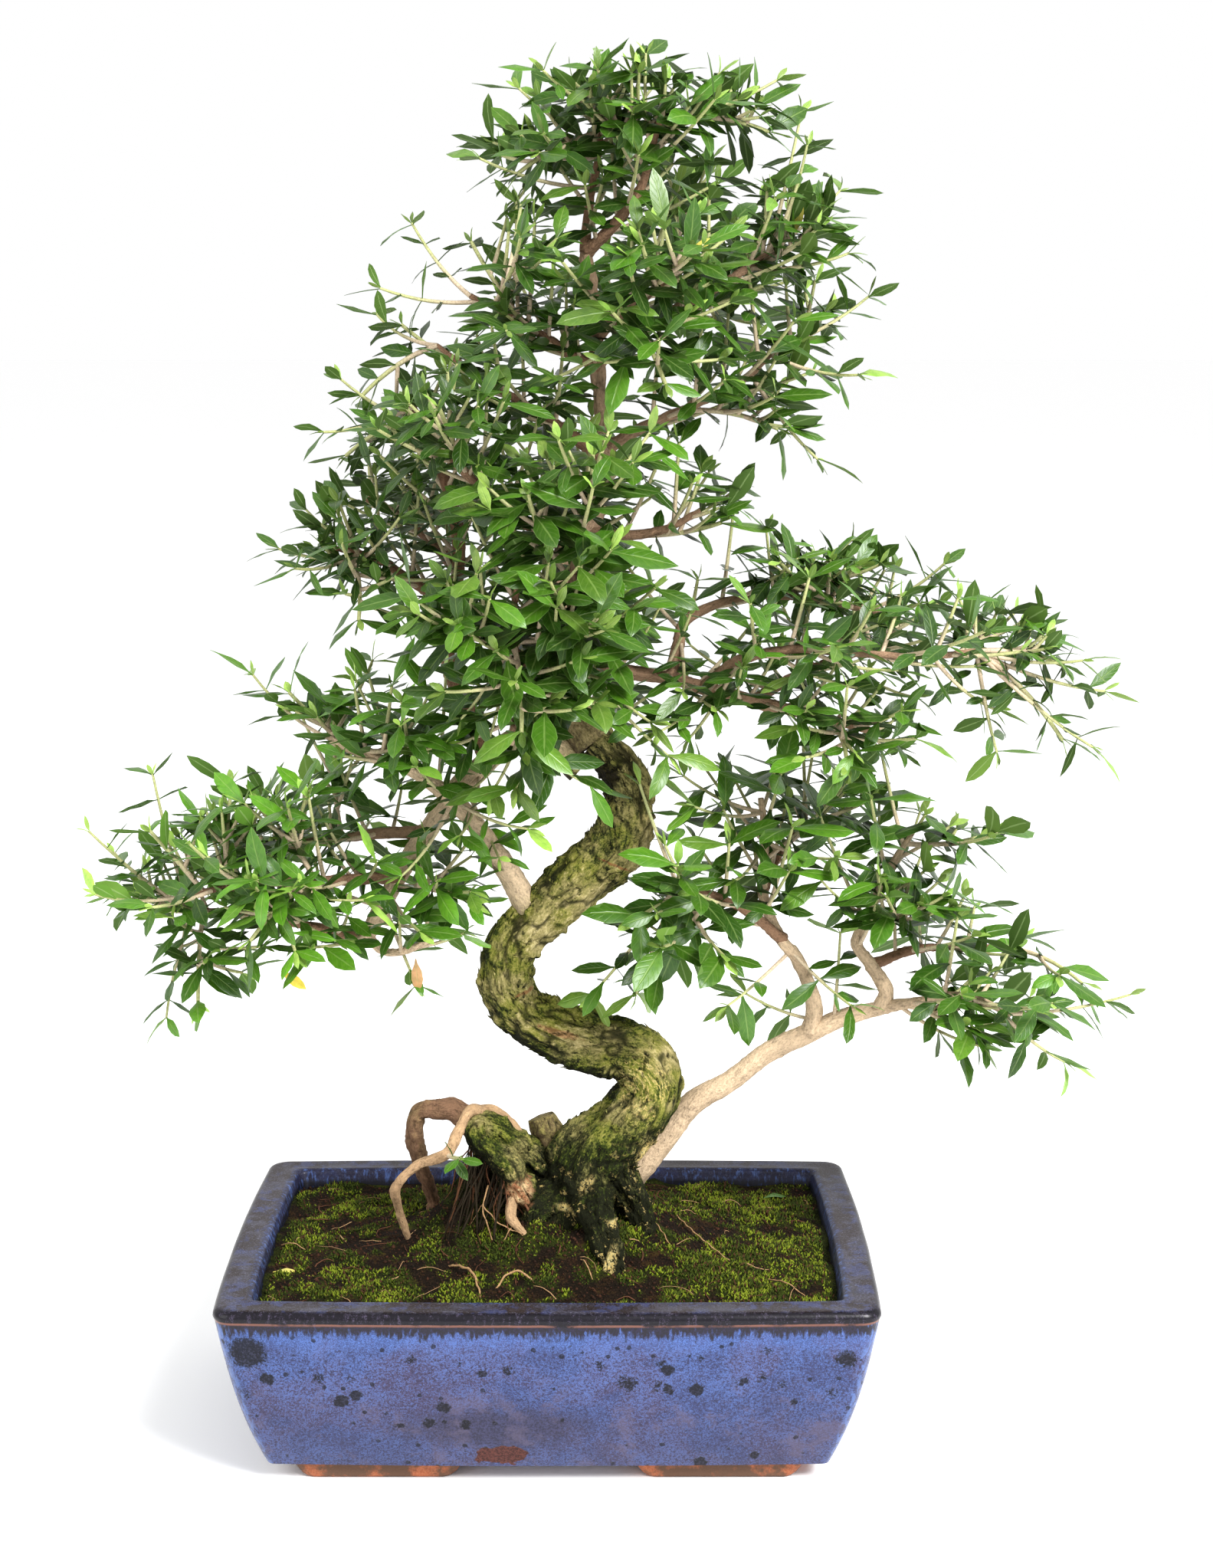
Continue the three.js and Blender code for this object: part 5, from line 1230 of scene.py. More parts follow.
def pot_body(pot):
    """The pot's body: the profile carried round the outline, closed by a pole in its underside and floor"""
    profile = pot_profile(pot.rounding)
    rings = pot_outline(profile[:, 0], profile[:, 1])
    rows, columns = rings.shape[:2]
    points = rings.reshape(-1, 3)
    travel = travelled(profile)
    edge = travel[np.argmax(profile[:, 1] > POT_HEIGHT - 0.6 * pot.rounding / MM)]
    down = np.repeat(edge - travel, columns)
    wobble = noise(points / 34) * 0.35 + noise(points / 9) * 0.07
    points = points - unit(points * (1, 1, 0)) * np.abs(wobble)[:, None]
    # The corner share rises where the outline rounds a corner, for the glaze's painted highlight there
    arc = np.sin(np.pi * np.linspace(0, 1, 9))
    corner = np.tile(np.concatenate([arc, np.zeros(columns // 4 - len(arc))]), 4 * rows)
    poles = [[0, 0, FOOT_HEIGHT + 0.6], [0, 0, FLOOR_TOP]]
    skin = Skin()
    skin.add(
        np.concatenate([points, poles]), closed_faces(rows, columns),
        down=np.append(down, down[[0, -1]]), corner=np.append(corner, [0, 0]),
    )
    piece = skin.piece("glazed_pot", [glaze_material(pot)])
    cut_drains(piece)
    piece.data.shade_smooth()
    piece.data.set_sharp_from_angle(angle=math.radians(CLAY_CREASE))
    return piece


def pot_feet(pot):
    """Four bars of bare clay: rounded rectangles that widen towards the pot"""
    skin = Skin()
    lobe = heading(turns(FOOT_SIDES))
    half = np.array([FOOT["length"], FOOT["width"]]) / 2
    middle = np.array([POT_WIDTH, POT_DEPTH]) / 2 - [FOOT["from_side"], FOOT["from_front"]] - half
    outlines = []
    for z, shrink in FOOT_LEVELS:
        slope = np.array([FOOT["end_slope"] * (1 - z / FOOT_HEIGHT), 0])
        box = np.sign(lobe) * (half - slope - shrink - FOOT["corner"])
        outlines.append((box + FOOT["corner"] * lobe, z))
    for side in ((-1, -1), (-1, 1), (1, -1), (1, 1)):
        column(skin, middle * side, outlines)
    return skin.piece("clay_feet", [clay_material(pot)], CLAY_CREASE)


# Soil and what lies and grows on it
def soil_height(flat):
    """The soil's level at its walls, a mound round the trunk, heaps between the roots and low hummocks"""
    x, y = flat[..., 0], flat[..., 1]
    hummocks = np.sin(x * 0.11 + 1) * np.sin(y * 0.13) + 0.6 * np.sin(x * 0.19 - y * 0.16)
    level = SOIL_LEVEL + MOUND["height"] * bell(flat, MOUND["middle"], MOUND["spread"]) + 0.96 * hummocks
    return level + sum(height * bell(flat, middle, radius) for middle, height, radius in HEAPS)


def moss_cover(flat):
    """How mossy the soil is at a place: noise, thinner in the hollows and a little on the left"""
    cover = 0.62 + 0.7 * noise(raised(flat / 17, 0)) + 0.9 * noise(raised(flat / 6, 1))
    cover = cover + 0.12 * np.tanh(flat[..., 0] / 40)
    return np.clip(cover - 0.75 * sum(bell(flat, middle, radius) for middle, radius in HOLLOWS), 0, 1)


def on_soil(flat, lift=0.0):
    """Places on the soil, with its crumbs and the cushions of its moss, and lifted by millimetres"""
    crumbs = layered_noise(raised(flat / 2.6, 0), 3)
    cushions = 0.5 + 0.5 * noise(raised(flat / 4.5, 5))
    return raised(flat, soil_height(flat) + 0.45 * crumbs + 1.7 * moss_cover(flat) * cushions - 0.6 + lift)


def soil_piece(soil):
    """Soil: a grid of shrinking outlines carried on the height of the crumbs and cushions, on a plain base"""
    rings = 96
    low = FLOOR_TOP + 1.6
    base = pot_outline([inner_inset(low) + 0.3], [low], side_steps=64)[0]
    edge = pot_outline([inner_inset(SOIL_LEVEL) - 0.7], [0], side_steps=64)[0, :, :2]
    top = on_soil(np.linspace(1, 0.02, rings)[:, None, None] * edge)
    points = np.concatenate([base, top.reshape(-1, 3), [[0, 0, low], [0, 0, top[-1, :, 2].mean()]]])
    skin = Skin()
    skin.add(points, closed_faces(rings + 1, len(edge)), moss=moss_cover(points[:, :2]))
    return skin.piece("mossy_soil", [soil_material(soil)])


# The steps of a low-discrepancy spread, and where it starts
SPREAD_STEPS = np.array([0.7548776662, 0.5698402910])
SPREAD_START = np.array([0.13, 0.31])


def scattered(count, seed):
    """Places on the soil: a low-discrepancy spread over the rectangle inside the rim"""
    n = np.arange(count)[:, None] + seed * 101
    half = np.array([POT_WIDTH, POT_DEPTH]) / 2 - inner_inset(SOIL_LEVEL) - 1.2
    return ((n * SPREAD_STEPS + SPREAD_START * seed) % 1 * 2 - 1) * half


def moss_piece(soil):
    """Moss: three-sided tufts that lean a little, set close where the cover is full"""
    flat = scattered(soil.moss_plants, 1)
    n = np.arange(len(flat))
    n = n[moss_cover(flat) > 0.04 + 0.95 * chance(n, 1) ** 1.1]
    flat = flat[n] + 1.6 * (chances(n, 2, 3) - 0.5)
    tall = soil.moss_height / MM * (0.4 + 0.75 * chance(n, 4)) * (0.5 + 0.5 * moss_cover(flat))
    base = on_soil(flat, -0.4)
    tip = base + unit(raised(chances(n, 5, 6) - 0.5, 0.7)) * tall[:, None]
    angle = 2 * np.pi * (chance(n, 7)[:, None] + np.arange(3) / 3)
    spread = (0.55 + 0.4 * chance(n, 8))[:, None, None]
    points = np.concatenate([base[:, None] + raised(spread * heading(angle), 0), tip[:, None]], axis=1)
    faces = repeated(np.array([[0, 1, 3], [1, 2, 3], [2, 0, 3], [0, 2, 1]]), len(n), 4)
    fresh = 0.1 + 0.9 * noise(raised(flat / 7, 3)) + 1.4 * (chance(n, 9) - 0.45)
    colour = blend(soil.moss, soil.moss_fresh, np.clip(fresh, 0, 1)[:, None])
    colour = np.where((chance(n, 10) > 0.86)[:, None], np.array(soil.humus) * 1.6, colour)
    skin = Skin()
    skin.add(
        points.reshape(-1, 3), [faces], tint=np.repeat(colour, 4, axis=0), tip=np.tile([0, 0, 0, 1.0], len(n))
    )
    return skin.piece("cushion_moss", [moss_material(soil)])


CRUMB = np.array([[1, 0, 0], [-1, 0, 0], [0, 1, 0], [0, -1, 0], [0, 0, 1], [0, 0, -1]], float)
CRUMB_FACES = np.array([
    [0, 2, 4], [2, 1, 4], [1, 3, 4], [3, 0, 4], [2, 0, 5], [1, 2, 5], [3, 1, 5], [0, 3, 5],
])


def crumbs(skin, soil):
    """Loose crumbs: squashed eight-faced diamonds, each with its own size, turn and brown"""
    flat = scattered(CRUMB_COUNT, 2)
    n = np.arange(len(flat))
    n = n[moss_cover(flat) < 0.3 + 0.7 * chance(n, 11)]
    radius = soil.grain / MM * (0.22 + 0.42 * chance(n, 12) ** 2)
    shape = CRUMB * (0.6 + 0.8 * chances(n, 13, 14, 15))[:, None] * radius[:, None, None]
    turn = 2 * np.pi * chance(n, 16)[:, None]
    ahead, aside = heading(turn), heading(turn + np.pi / 2)
    shape = raised(shape[..., :1] * ahead + shape[..., 1:2] * aside, shape[..., 2])
    points = shape + on_soil(flat[n], 0.1)[:, None]
    colour = 1.3 * blend(soil.soil, soil.humus, chance(n, 17)[:, None])
    skin.add(points.reshape(-1, 3), [repeated(CRUMB_FACES, len(n), 6)], tint=np.repeat(colour, 6, axis=0))


def straws(skin):
    """Straws: arcs that lie on the soil and arch a little off it"""
    middle = scattered(STRAW_COUNT, 3)
    n = np.arange(len(middle))
    length = 4 + 13 * chance(n, 19) ** 2
    part = np.linspace(0, 1, 7)
    bend = (chance(n, 20) - 0.5)[:, None] * 1.1
    course = 2 * np.pi * chance(n, 18)[:, None] + bend * (part - 0.5) * 2
    flat = middle[:, None] + (length[:, None] * (part - 0.5))[..., None] * heading(course)
    inside = np.abs(flat) < np.array([POT_WIDTH, POT_DEPTH]) / 2 - RIM_WIDTH - 3
    n = n[inside.all(axis=(1, 2))]
    arch = np.sin(np.pi * part) * (0.3 + 1.5 * chance(n, 21))[:, None]
    radius = (0.14 + 0.26 * chance(n, 22) ** 2)[:, None] * (1 - 0.5 * part)
    colour = np.where((chance(n, 23) > 0.7)[:, None], [0.36, 0.22, 0.11], [0.1, 0.042, 0.022])
    strands(skin, on_soil(flat[n], arch), radius, 5, tint=colour)


def litter_piece(soil):
    """Loose crumbs, straws, fibres and rootlets on the soil"""
    skin = Skin()
    crumbs(skin, soil)
    straws(skin)
    root_fibres(skin)
    for points in ROOTLETS:
        tube(skin, points, 1, 7, wavering, tint=(0.38, 0.23, 0.11))
    return skin.piece("soil_litter", [litter_material()])


def wavering(place, angle, along, radius):
    """A rootlet's surface: a share of its radius with slight lumps, and small bends"""
    return radius * (0.42 + 0.1 * np.sin(1.3 * along + angle)) + 0.35 * np.sin(0.9 * along) * np.cos(angle)


def root_fibres(skin):
    """Dark fibres that hang in bends from the mossy root to the soil"""
    n = np.arange(FIBRE_COUNT)
    at = smooth_curve(ROOTS["mossy_left"], 100)[1]
    top = at[(100 * chance(n, 71)).astype(int)] + 4 * (chances(n, 72, 73, 74) - 0.6)
    foot = on_soil(top[:, :2] + (chances(n, 75, 76) - [0.7, 0.6]) * [22, 18])
    part = np.linspace(0, 1, 8)[:, None]
    paths = top[:, None] * (1 - part) + foot[:, None] * part
    swing = np.sin(np.pi * part * (1 + 2 * chance(n, 77)[:, None, None])) * 3
    paths = paths + swing * raised(chances(n, 78, 79) - 0.5, 0)[:, None]
    radius = (0.2 + 0.4 * chance(n, 80) ** 2)[:, None] * np.ones(8)
    colour = np.where((chance(n, 81) > 0.75)[:, None], [0.16, 0.07, 0.035], [0.02, 0.014, 0.007])
    strands(skin, paths, radius, 5, tint=colour)


def strands(skin, paths, radii, sides, **attributes):
    """Closed tubes round many paths (n, steps, 3) at once, with attributes for each path or each step"""
    count, steps = paths.shape[:2]
    tangent = unit(np.gradient(paths, axis=1))
    first = around(tangent, np.zeros((count, steps)))
    first = across(np.repeat(first[:, :1], steps, axis=1), tangent)
    second = np.cross(tangent, first)
    ring = turned(first[:, :, None], second[:, :, None], turns(sides))
    points = paths[:, :, None] + radii[:, :, None, None] * ring
    body = np.concatenate([points.reshape(count, -1, 3), paths[:, [0, -1]]], axis=1)
    for name, value in attributes.items():
        if value.shape == (count, 3):
            attributes[name] = np.repeat(value, body.shape[1], axis=0)
        else:
            spread = np.repeat(value, sides, axis=1)
            attributes[name] = np.concatenate([spread, value[:, [0, -1]]], axis=1).ravel()
    faces = [repeated(block, count, body.shape[1]) for block in closed_faces(steps, sides)]
    skin.add(body.reshape(-1, 3), faces, **attributes)


# Wood
def trunk_lobes(place, angle):
    """The low lobes that run round the trunk, and the waist above its foot on the left"""
    return (
        1
        + 0.06 * np.sin(2 * angle + 0.9 * place)
        + 0.05 * np.sin(3 * angle - 0.7 * place + 1)
        + 0.035 * np.sin(5 * angle + 1.7 * place)
        - 0.36 * np.exp(-(((place - 3.9) / 0.9) ** 2)) * np.clip(-np.cos(angle), 0, 1) ** 2
    )


def limb_lobes(place, angle):
    return 1 + 0.06 * np.sin(2 * angle + 1.3 * place) + 0.04 * np.sin(3 * angle - place)


def bark_place(angle, along, radius, spacing, stretch):
    """A place on the bark for noise: round the tube by the spacing, and along it by that times a stretch"""
    twist = angle + 0.012 * along
    return np.stack(np.broadcast_arrays(
        np.cos(twist) * radius / spacing, np.sin(twist) * radius / spacing, along / (spacing * stretch)
    ), axis=-1)


def cracks(angle, along, radius, spacing):
    """How deep in a crack a place is, from 0 to 1: noise near zero, stretched along the wood, in two sizes"""
    wander = 0.7 * noise(bark_place(angle, along, radius, spacing * 2.2, 1.2))
    wide = noise(bark_place(angle, along, radius, spacing, 2.4) + wander[..., None])
    narrow = noise(bark_place(angle, along, radius, spacing * 0.55, 1.9) + 9)
    return np.clip(np.maximum(1 - np.abs(wide) * 4.2, 0.62 * (1 - np.abs(narrow) * 5)), 0, 1)


def loose_flakes(skin, points, reach, count, colour):
    """Flakes and stubs that stand off a tube's bark: eight-faced diamonds that lie along the wood, with
    their upper ends lifted"""
    place, at, tangent, first, second, radius, along = curve_frame(points, CURVE_STEPS)
    n = np.arange(count)
    row = (chance(n, 61) * CURVE_STEPS).astype(int)
    angle = 2 * np.pi * chance(n, 62)
    out = turned(first[row], second[row], angle)
    base = at[row] + out * (reach(place[row], angle, along[row], radius[row]) - 0.2)[:, None]
    lengthwise = unit(tangent[row] + out * (0.1 + 0.5 * chance(n, 63))[:, None])
    wide = unit(np.cross(out, lengthwise))
    thick = np.cross(lengthwise, wide)
    half = [1 + 2.2 * chance(n, 64) ** 2, 0.5 + 0.9 * chance(n, 65), 0.25 + 0.3 * chance(n, 66)]
    shape = CRUMB * np.stack(half, axis=1)[:, None]
    corners = base[:, None] + sum(
        shape[..., i, None] * axis[:, None] for i, axis in enumerate((lengthwise, wide, thick))
    )
    corners = corners.reshape(-1, 3)
    skin.add(
        corners, [repeated(CRUMB_FACES, count, 6)], tint=colour, moss=1.0,
        crack=np.repeat(0.8 * chance(n, 67), 6), ridge=0.5, course=corners,
    )


# A way longer than any limb, in millimetres, over which knobs hardly fade
FAR = 1e6


def bark(skin, wood, points, step, sides, lobes, depth, spacing, flare, colour, moss, **extras):
    """A tube of wood: lobes, a flare at its foot, ridged bark with cracks, and its colours. Depth and
    spacing are shares of the old trunk's. The extras are the height of knobs, the way over which they
    fade, and a number of loose flakes"""
    depth *= wood.fissure_depth / MM
    spacing *= wood.fissure_width / MM
    knobs = extras.get("knobs", 0.0)
    fade = extras.get("fade", FAR)

    def rough(angle, along, radius):
        return layered_noise(bark_place(angle, along, radius, spacing, 1.6) + 5, 3)

    def plates(angle, along, radius):
        """Flat-topped plates of bark, longer than wide, with stubs here and there"""
        flat = np.tanh(4 * noise(bark_place(angle, along, radius, spacing * 1.5, 2.2) + 3))
        stubs = np.maximum(noise(bark_place(angle, along, radius, spacing * 0.7, 1.3) + 31) - 0.4, 0)
        return flat + 5 * stubs

    def reach(place, angle, along, radius):
        spot = (angle, along, radius)
        swell = 1 + flare * np.exp(-along / (2.2 * radius))
        relief = 0.36 * rough(*spot) + 0.4 * plates(*spot) - 0.7 * cracks(*spot, spacing)
        lumps = knobs * np.exp(-along / fade) * layered_noise(bark_place(*spot, 9, 1.1) + 41, 2)
        return radius * lobes(place, angle) * swell + depth * relief + lumps

    tube(
        skin, points, step, sides, reach, tint=colour, moss=moss,
        crack=lambda place, *spot: cracks(*spot, spacing) * min(depth / 1.2, 1),
        ridge=lambda place, *spot: 0.5 + 0.5 * rough(*spot),
        course=lambda place, *spot: bark_place(*spot, 1, 1),
    )
    if extras.get("flakes"):
        loose_flakes(skin, points, reach, extras["flakes"], colour)


def thinning_moss(place, angle, along, radius):
    """Moss that thins out up the slender trunk"""
    return np.clip(0.8 - along / 60, 0.12, 1)


def foot_moss(place, angle, along, radius):
    """Moss at a limb's foot"""
    return 0.9 * np.exp(-along / 14) + 0.1


def trunk_piece(wood):
    """The trunk: thick, deeply cracked and mossy up to its fork, slender and barer above"""
    skin = Skin()
    low, high = TRUNK[: TRUNK_FORK + 1], TRUNK[TRUNK_FORK:]
    bark(
        skin, wood, low, 1.0, 92, trunk_lobes, 1, 1, 0.0, wood.mossy, 1.0, knobs=2.6, fade=40,
        flakes=TRUNK_FLAKES,
    )
    upper_tint = blend(wood.brown, wood.pale, 0.45)
    bark(skin, wood, high, 1.4, 30, limb_lobes, 0.4, 0.6, 0.0, upper_tint, thinning_moss)
    return skin.piece("old_trunk", [bark_material(wood)])


# The share of buff bark on the paler limbs, where the others are mostly brown. Shares above 1 go past
# the buff as painted light on limbs that the foliage shades
PALE_AND_PAINTED_LIGHT_LIMBS = {
    "second_left": 1.25, "left_loop": 1.2, "first_left": 1.15, "low_right": 1, "low_right_inner": 1,
    "low_right_outer": 1,
}
MOSSY_LIMBS = ("low_right", "first_left", "second_left")


def branches_piece(wood):
    """Every limb: buff or brown bark with fine cracks, and swollen where it leaves its parent"""
    skin = Skin()
    for name, points in LIMBS.items():
        sides = int(np.clip(points[0][3] * 6, 12, 30))
        moss = foot_moss if name in MOSSY_LIMBS else 0.12
        # Shares above 1 paint light onto limbs that the foliage shades
        colour = blend(wood.brown, wood.pale, PALE_AND_PAINTED_LIGHT_LIMBS.get(name, 0.25 * chance(len(name), 3)))
        bark(skin, wood, points, 1.5, sides, limb_lobes, 0.2, 0.45, 0.28, colour, moss)
    return skin.piece("branches", [bark_material(wood)])


# The colour, moss and depth of cracks of the roots that aren't mossy all over
ROOT_LOOKS = {
    "knob": ("tan", 0.72, 0.6),
    "brown_arch": ("brown", 0.35, 0.4),
    "pale_front": ("tan", 0.08, 0.2),
    "thin_top": ("tan", 0.1, 0.2),
    "rootlet": ("tan", 0.3, 0.2),
}


def roots_piece(wood):
    """Surface roots and the stump of a cut branch: the mossy ones cracked like the trunk"""
    skin = Skin()
    for name, points in ROOTS.items():
        tone, moss, rough = ROOT_LOOKS.get(name, ("mossy", 1.0, 0.9))
        sides = int(np.clip(points[0][3] * 7, 14, 64))
        bark(
            skin, wood, points, 1.1, sides, limb_lobes, rough, 0.8, 0.12, getattr(wood, tone), moss,
            knobs=2.4 * rough, flakes=ROOT_FLAKES if moss == 1 else 0,
        )
    return skin.piece("surface_roots", [bark_material(wood)])


# Foliage
def bend(stems, t):
    """Points and unit tangents of quadratic curves (n, 3 control points, 3) at shares t (n, m) of the way"""
    root, knee, tip = (stems[:, None, i] for i in range(3))
    t = t[..., None]
    at = root * (1 - t) ** 2 + 2 * knee * t * (1 - t) + tip * t**2
    slope = 2 * (knee - root) * (1 - t) + 2 * (tip - knee) * t
    return at, unit(slope)


def bend_length(stems):
    at = bend(stems, np.tile(np.linspace(0, 1, 33), (len(stems), 1)))[0]
    return np.sum(np.linalg.norm(np.diff(at, axis=1), axis=2), axis=1)


def corners_of(node):
    """The corners of a node's solid, in millimetres from the pot's middle"""
    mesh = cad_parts[node].data
    corners = np.empty(len(mesh.vertices) * 3, np.float32)
    mesh.vertices.foreach_get("co", corners)
    return (np.unique(np.round(corners.reshape(-1, 3), 5), axis=0) - POT_MIDDLE) / MM


def possible_twigs(seed, limbs, tip, shortest):
    """The twigs that the growing rule allows: from the limbs' nearest places, with a swing to either side"""
    tip = np.array(tip, float)
    counts = [max(2, round(curve_length(points) / 5)) for points in limbs]
    roots = np.concatenate([smooth_curve(points, count)[1][3:] for points, count in zip(limbs, counts)])
    far = np.linalg.norm(roots - tip, axis=1)
    order = np.argsort(far + 2 * np.maximum(0, shortest - far), kind="stable")
    roots = np.repeat(roots[order[:ROOT_CHOICES]], len(SWINGS), axis=0)
    swing = np.tile(SWINGS, len(roots) // len(SWINGS))
    reach = np.linalg.norm(tip - roots, axis=1)
    sideways = unit(np.cross(tip - roots, UP))
    lift = np.where(tip[2] > roots[:, 2], -0.1, 0.14)
    knee = (roots + tip) / 2 + UP * (lift * reach)[:, None]
    knee += sideways * ((0.24 * (chance(seed, 1) - 0.5) + swing) * reach)[:, None]
    return np.stack([roots, knee, np.broadcast_to(tip, roots.shape)], axis=1)


def main_twig(node, seed, limbs, tip, shortest):
    """Of the possible twigs, the one that the most corners of the node's solid lie along"""
    twigs = possible_twigs(seed, limbs, tip, shortest)
    samples = bend(twigs, np.tile(np.linspace(0, 1, 60), (len(twigs), 1)))[0]
    gap = np.linalg.norm(samples[:, :, None] - corners_of(node)[None, None], axis=3).min(axis=1)
    return twigs[np.argmax(np.sum(gap < TWIG_RADII[0] + 0.25, axis=1))]


def lifted(directions):
    """Directions that point down, turned most of the way up to the level"""
    return directions * np.where(directions[:, 2:] < 0, [1, 1, 0.5], 1)


def shoots_from(start, tangent, first_turn, shares, reach, sag):
    """Shoots (n, 3, 3) that leave a stem at golden-angle turns, in directions that are shares of along it,
    away from it and up, and sag by a share of their reach"""
    outward = lifted(around(tangent, GOLDEN_ANGLE * np.arange(len(start)) + 2 * np.pi * first_turn))
    along, away, up = shares
    tip = start + unit(along * tangent + away * outward + up * UP) * reach[:, None]
    return np.stack([start, (start + tip) / 2 - sag * reach[:, None] * UP, tip], axis=1)


def side_shoots(twig, seed, count, length):
    """Shoots that leave a twig and bend upwards, shorter towards its tip"""
    k = np.arange(count)
    t = SHOOT["first"] + SHOOT["spacing"] * k
    start, tangent = (v[0] for v in bend(twig[None], t[None]))
    reach = length * (0.75 + 0.5 * chance(seed, 3, k)) * (1.1 - 0.4 * t - 0.9 * np.maximum(t - 0.6, 0))
    return shoots_from(start, tangent, chance(seed, 2), (0.5, 0.72, 0.4), reach, 0.08)


# A leaf's grid: shares of its length, and shares of its half width
LEAF_ALONG = np.array([0, 0.12, 0.34, 0.58, 0.81, 1.0])
LEAF_ACROSS = np.array([-1, -0.5, 0, 0.5, 1])


def leaf_faces(rows, columns):
    """The faces of one leaf: its upper grid, and an underside and two end caps that share its edge points
    and use one more row of points below its rib"""
    row = np.arange(rows)
    below = rows * columns + row
    under = np.stack([row * columns, below, row * columns + columns - 1], axis=1)
    quads = under.ravel()[grid_faces(rows, 3)]
    start = np.concatenate([np.arange(columns), below[:1]])
    end = np.concatenate([np.arange(columns) + (rows - 1) * columns, below[-1:]])[::-1]
    return [grid_faces(rows, columns, flip=True), quads, np.stack([start, end])]


def leaves(skin, at, direction, face, length, tints, slimness, foliage, materials=(1, 2, 2)):
    """Leaves as closed lenses. At a share s of the length and w of the half width, a point lies at
    s along the leaf, w times the width's profile to its side, and above it by a fold that rises with |w|,
    an edge that rolls down with w^2, a twist with s w, a slight wave, a droop with s^2 and half the
    blade's thickness to either face. The profile is a thin stalk to s = 0.08 and then
    3.12 b^0.8 (1 - b)^0.85, with b from 0 to 1"""
    count = len(at)
    rows, columns = len(LEAF_ALONG), len(LEAF_ACROSS)
    n = np.arange(count)[:, None, None]
    at, direction, face = (v[:, None, None] for v in (at, direction, face))
    length = length[:, None, None]
    side = np.cross(face, direction)
    s = LEAF_ALONG[:, None]
    blade = np.clip((s - 0.08) / 0.92, 0, 1)
    profile = np.maximum(3.12 * blade**0.8 * (1 - blade) ** 0.85, np.where(s < 1, 0.1, 0.02))
    half = length * foliage.slimness * slimness / 2 * (0.85 + 0.3 * chance(n, 31)) * profile
    fold = 0.1 + 0.35 * chance(n, 33)
    twist = 0.5 * (chance(n, 34) - 0.5)
    wave = 0.12 * half * np.sin(9 * s + 6.3 * chance(n, 35)) * LEAF_ACROSS
    rise = fold * half * np.abs(LEAF_ACROSS) - 0.25 * half * LEAF_ACROSS**2 + wave
    rise = rise + twist * s * half * LEAF_ACROSS
    sink = (0.03 + 0.32 * chance(n, 32) ** 2) * length * s**2
    thick = foliage.blade_thickness / MM * 0.5 * (1 - 0.7 * s)

    def shell(w, lift):
        ahead = (length * s - 0.4 * sink * s + 0 * w)[..., None]
        points = at + direction * ahead + side * (half * w)[..., None] + face * (lift - sink)[..., None]
        return points.reshape(count, -1, 3)

    upper = shell(LEAF_ACROSS, rise + thick * (1 - LEAF_ACROSS**2))
    points = np.concatenate([upper, shell(np.zeros(1), -thick)], axis=1)
    faces = [repeated(block, count, points.shape[1]) for block in leaf_faces(rows, columns)]
    aside = np.concatenate([np.tile(LEAF_ACROSS, rows), np.zeros(rows)])
    along = np.concatenate([np.repeat(LEAF_ALONG, columns), LEAF_ALONG])
    skin.add(
        points.reshape(-1, 3), faces, materials, tint=np.repeat(tints, points.shape[1], axis=0),
        aside=np.tile(aside, count), along=np.tile(along, count),
    )


def leaf_tints(foliage, seed, age, n, painted_light):
    """Greens from fresh to old, painted lighter or darker by the pad's painted light, with a yellow leaf here
    and there
    """
    age = np.clip(age + 0.5 * (chance(n, 41, seed) - 0.5), 0, 1)[:, None]
    fresh, middle, old = (np.array(c) for c in (foliage.fresh_leaf, foliage.leaf, foliage.old_leaf))
    green = np.where(
        age < 0.35, fresh + (middle - fresh) * age / 0.35, middle + (old - middle) * (age - 0.35) / 0.65
    )
    # Painted light: each pad's factor lightens or darkens its greens in place of the light it gets
    green = green * painted_light * (0.65 + 0.75 * chance(n, 42, seed) ** 1.5)[:, None]
    yellow = (chance(n, 43, seed) > 1 - YELLOW_SHARE)[:, None]
    return np.where(yellow, np.array(foliage.yellow_leaf), green)


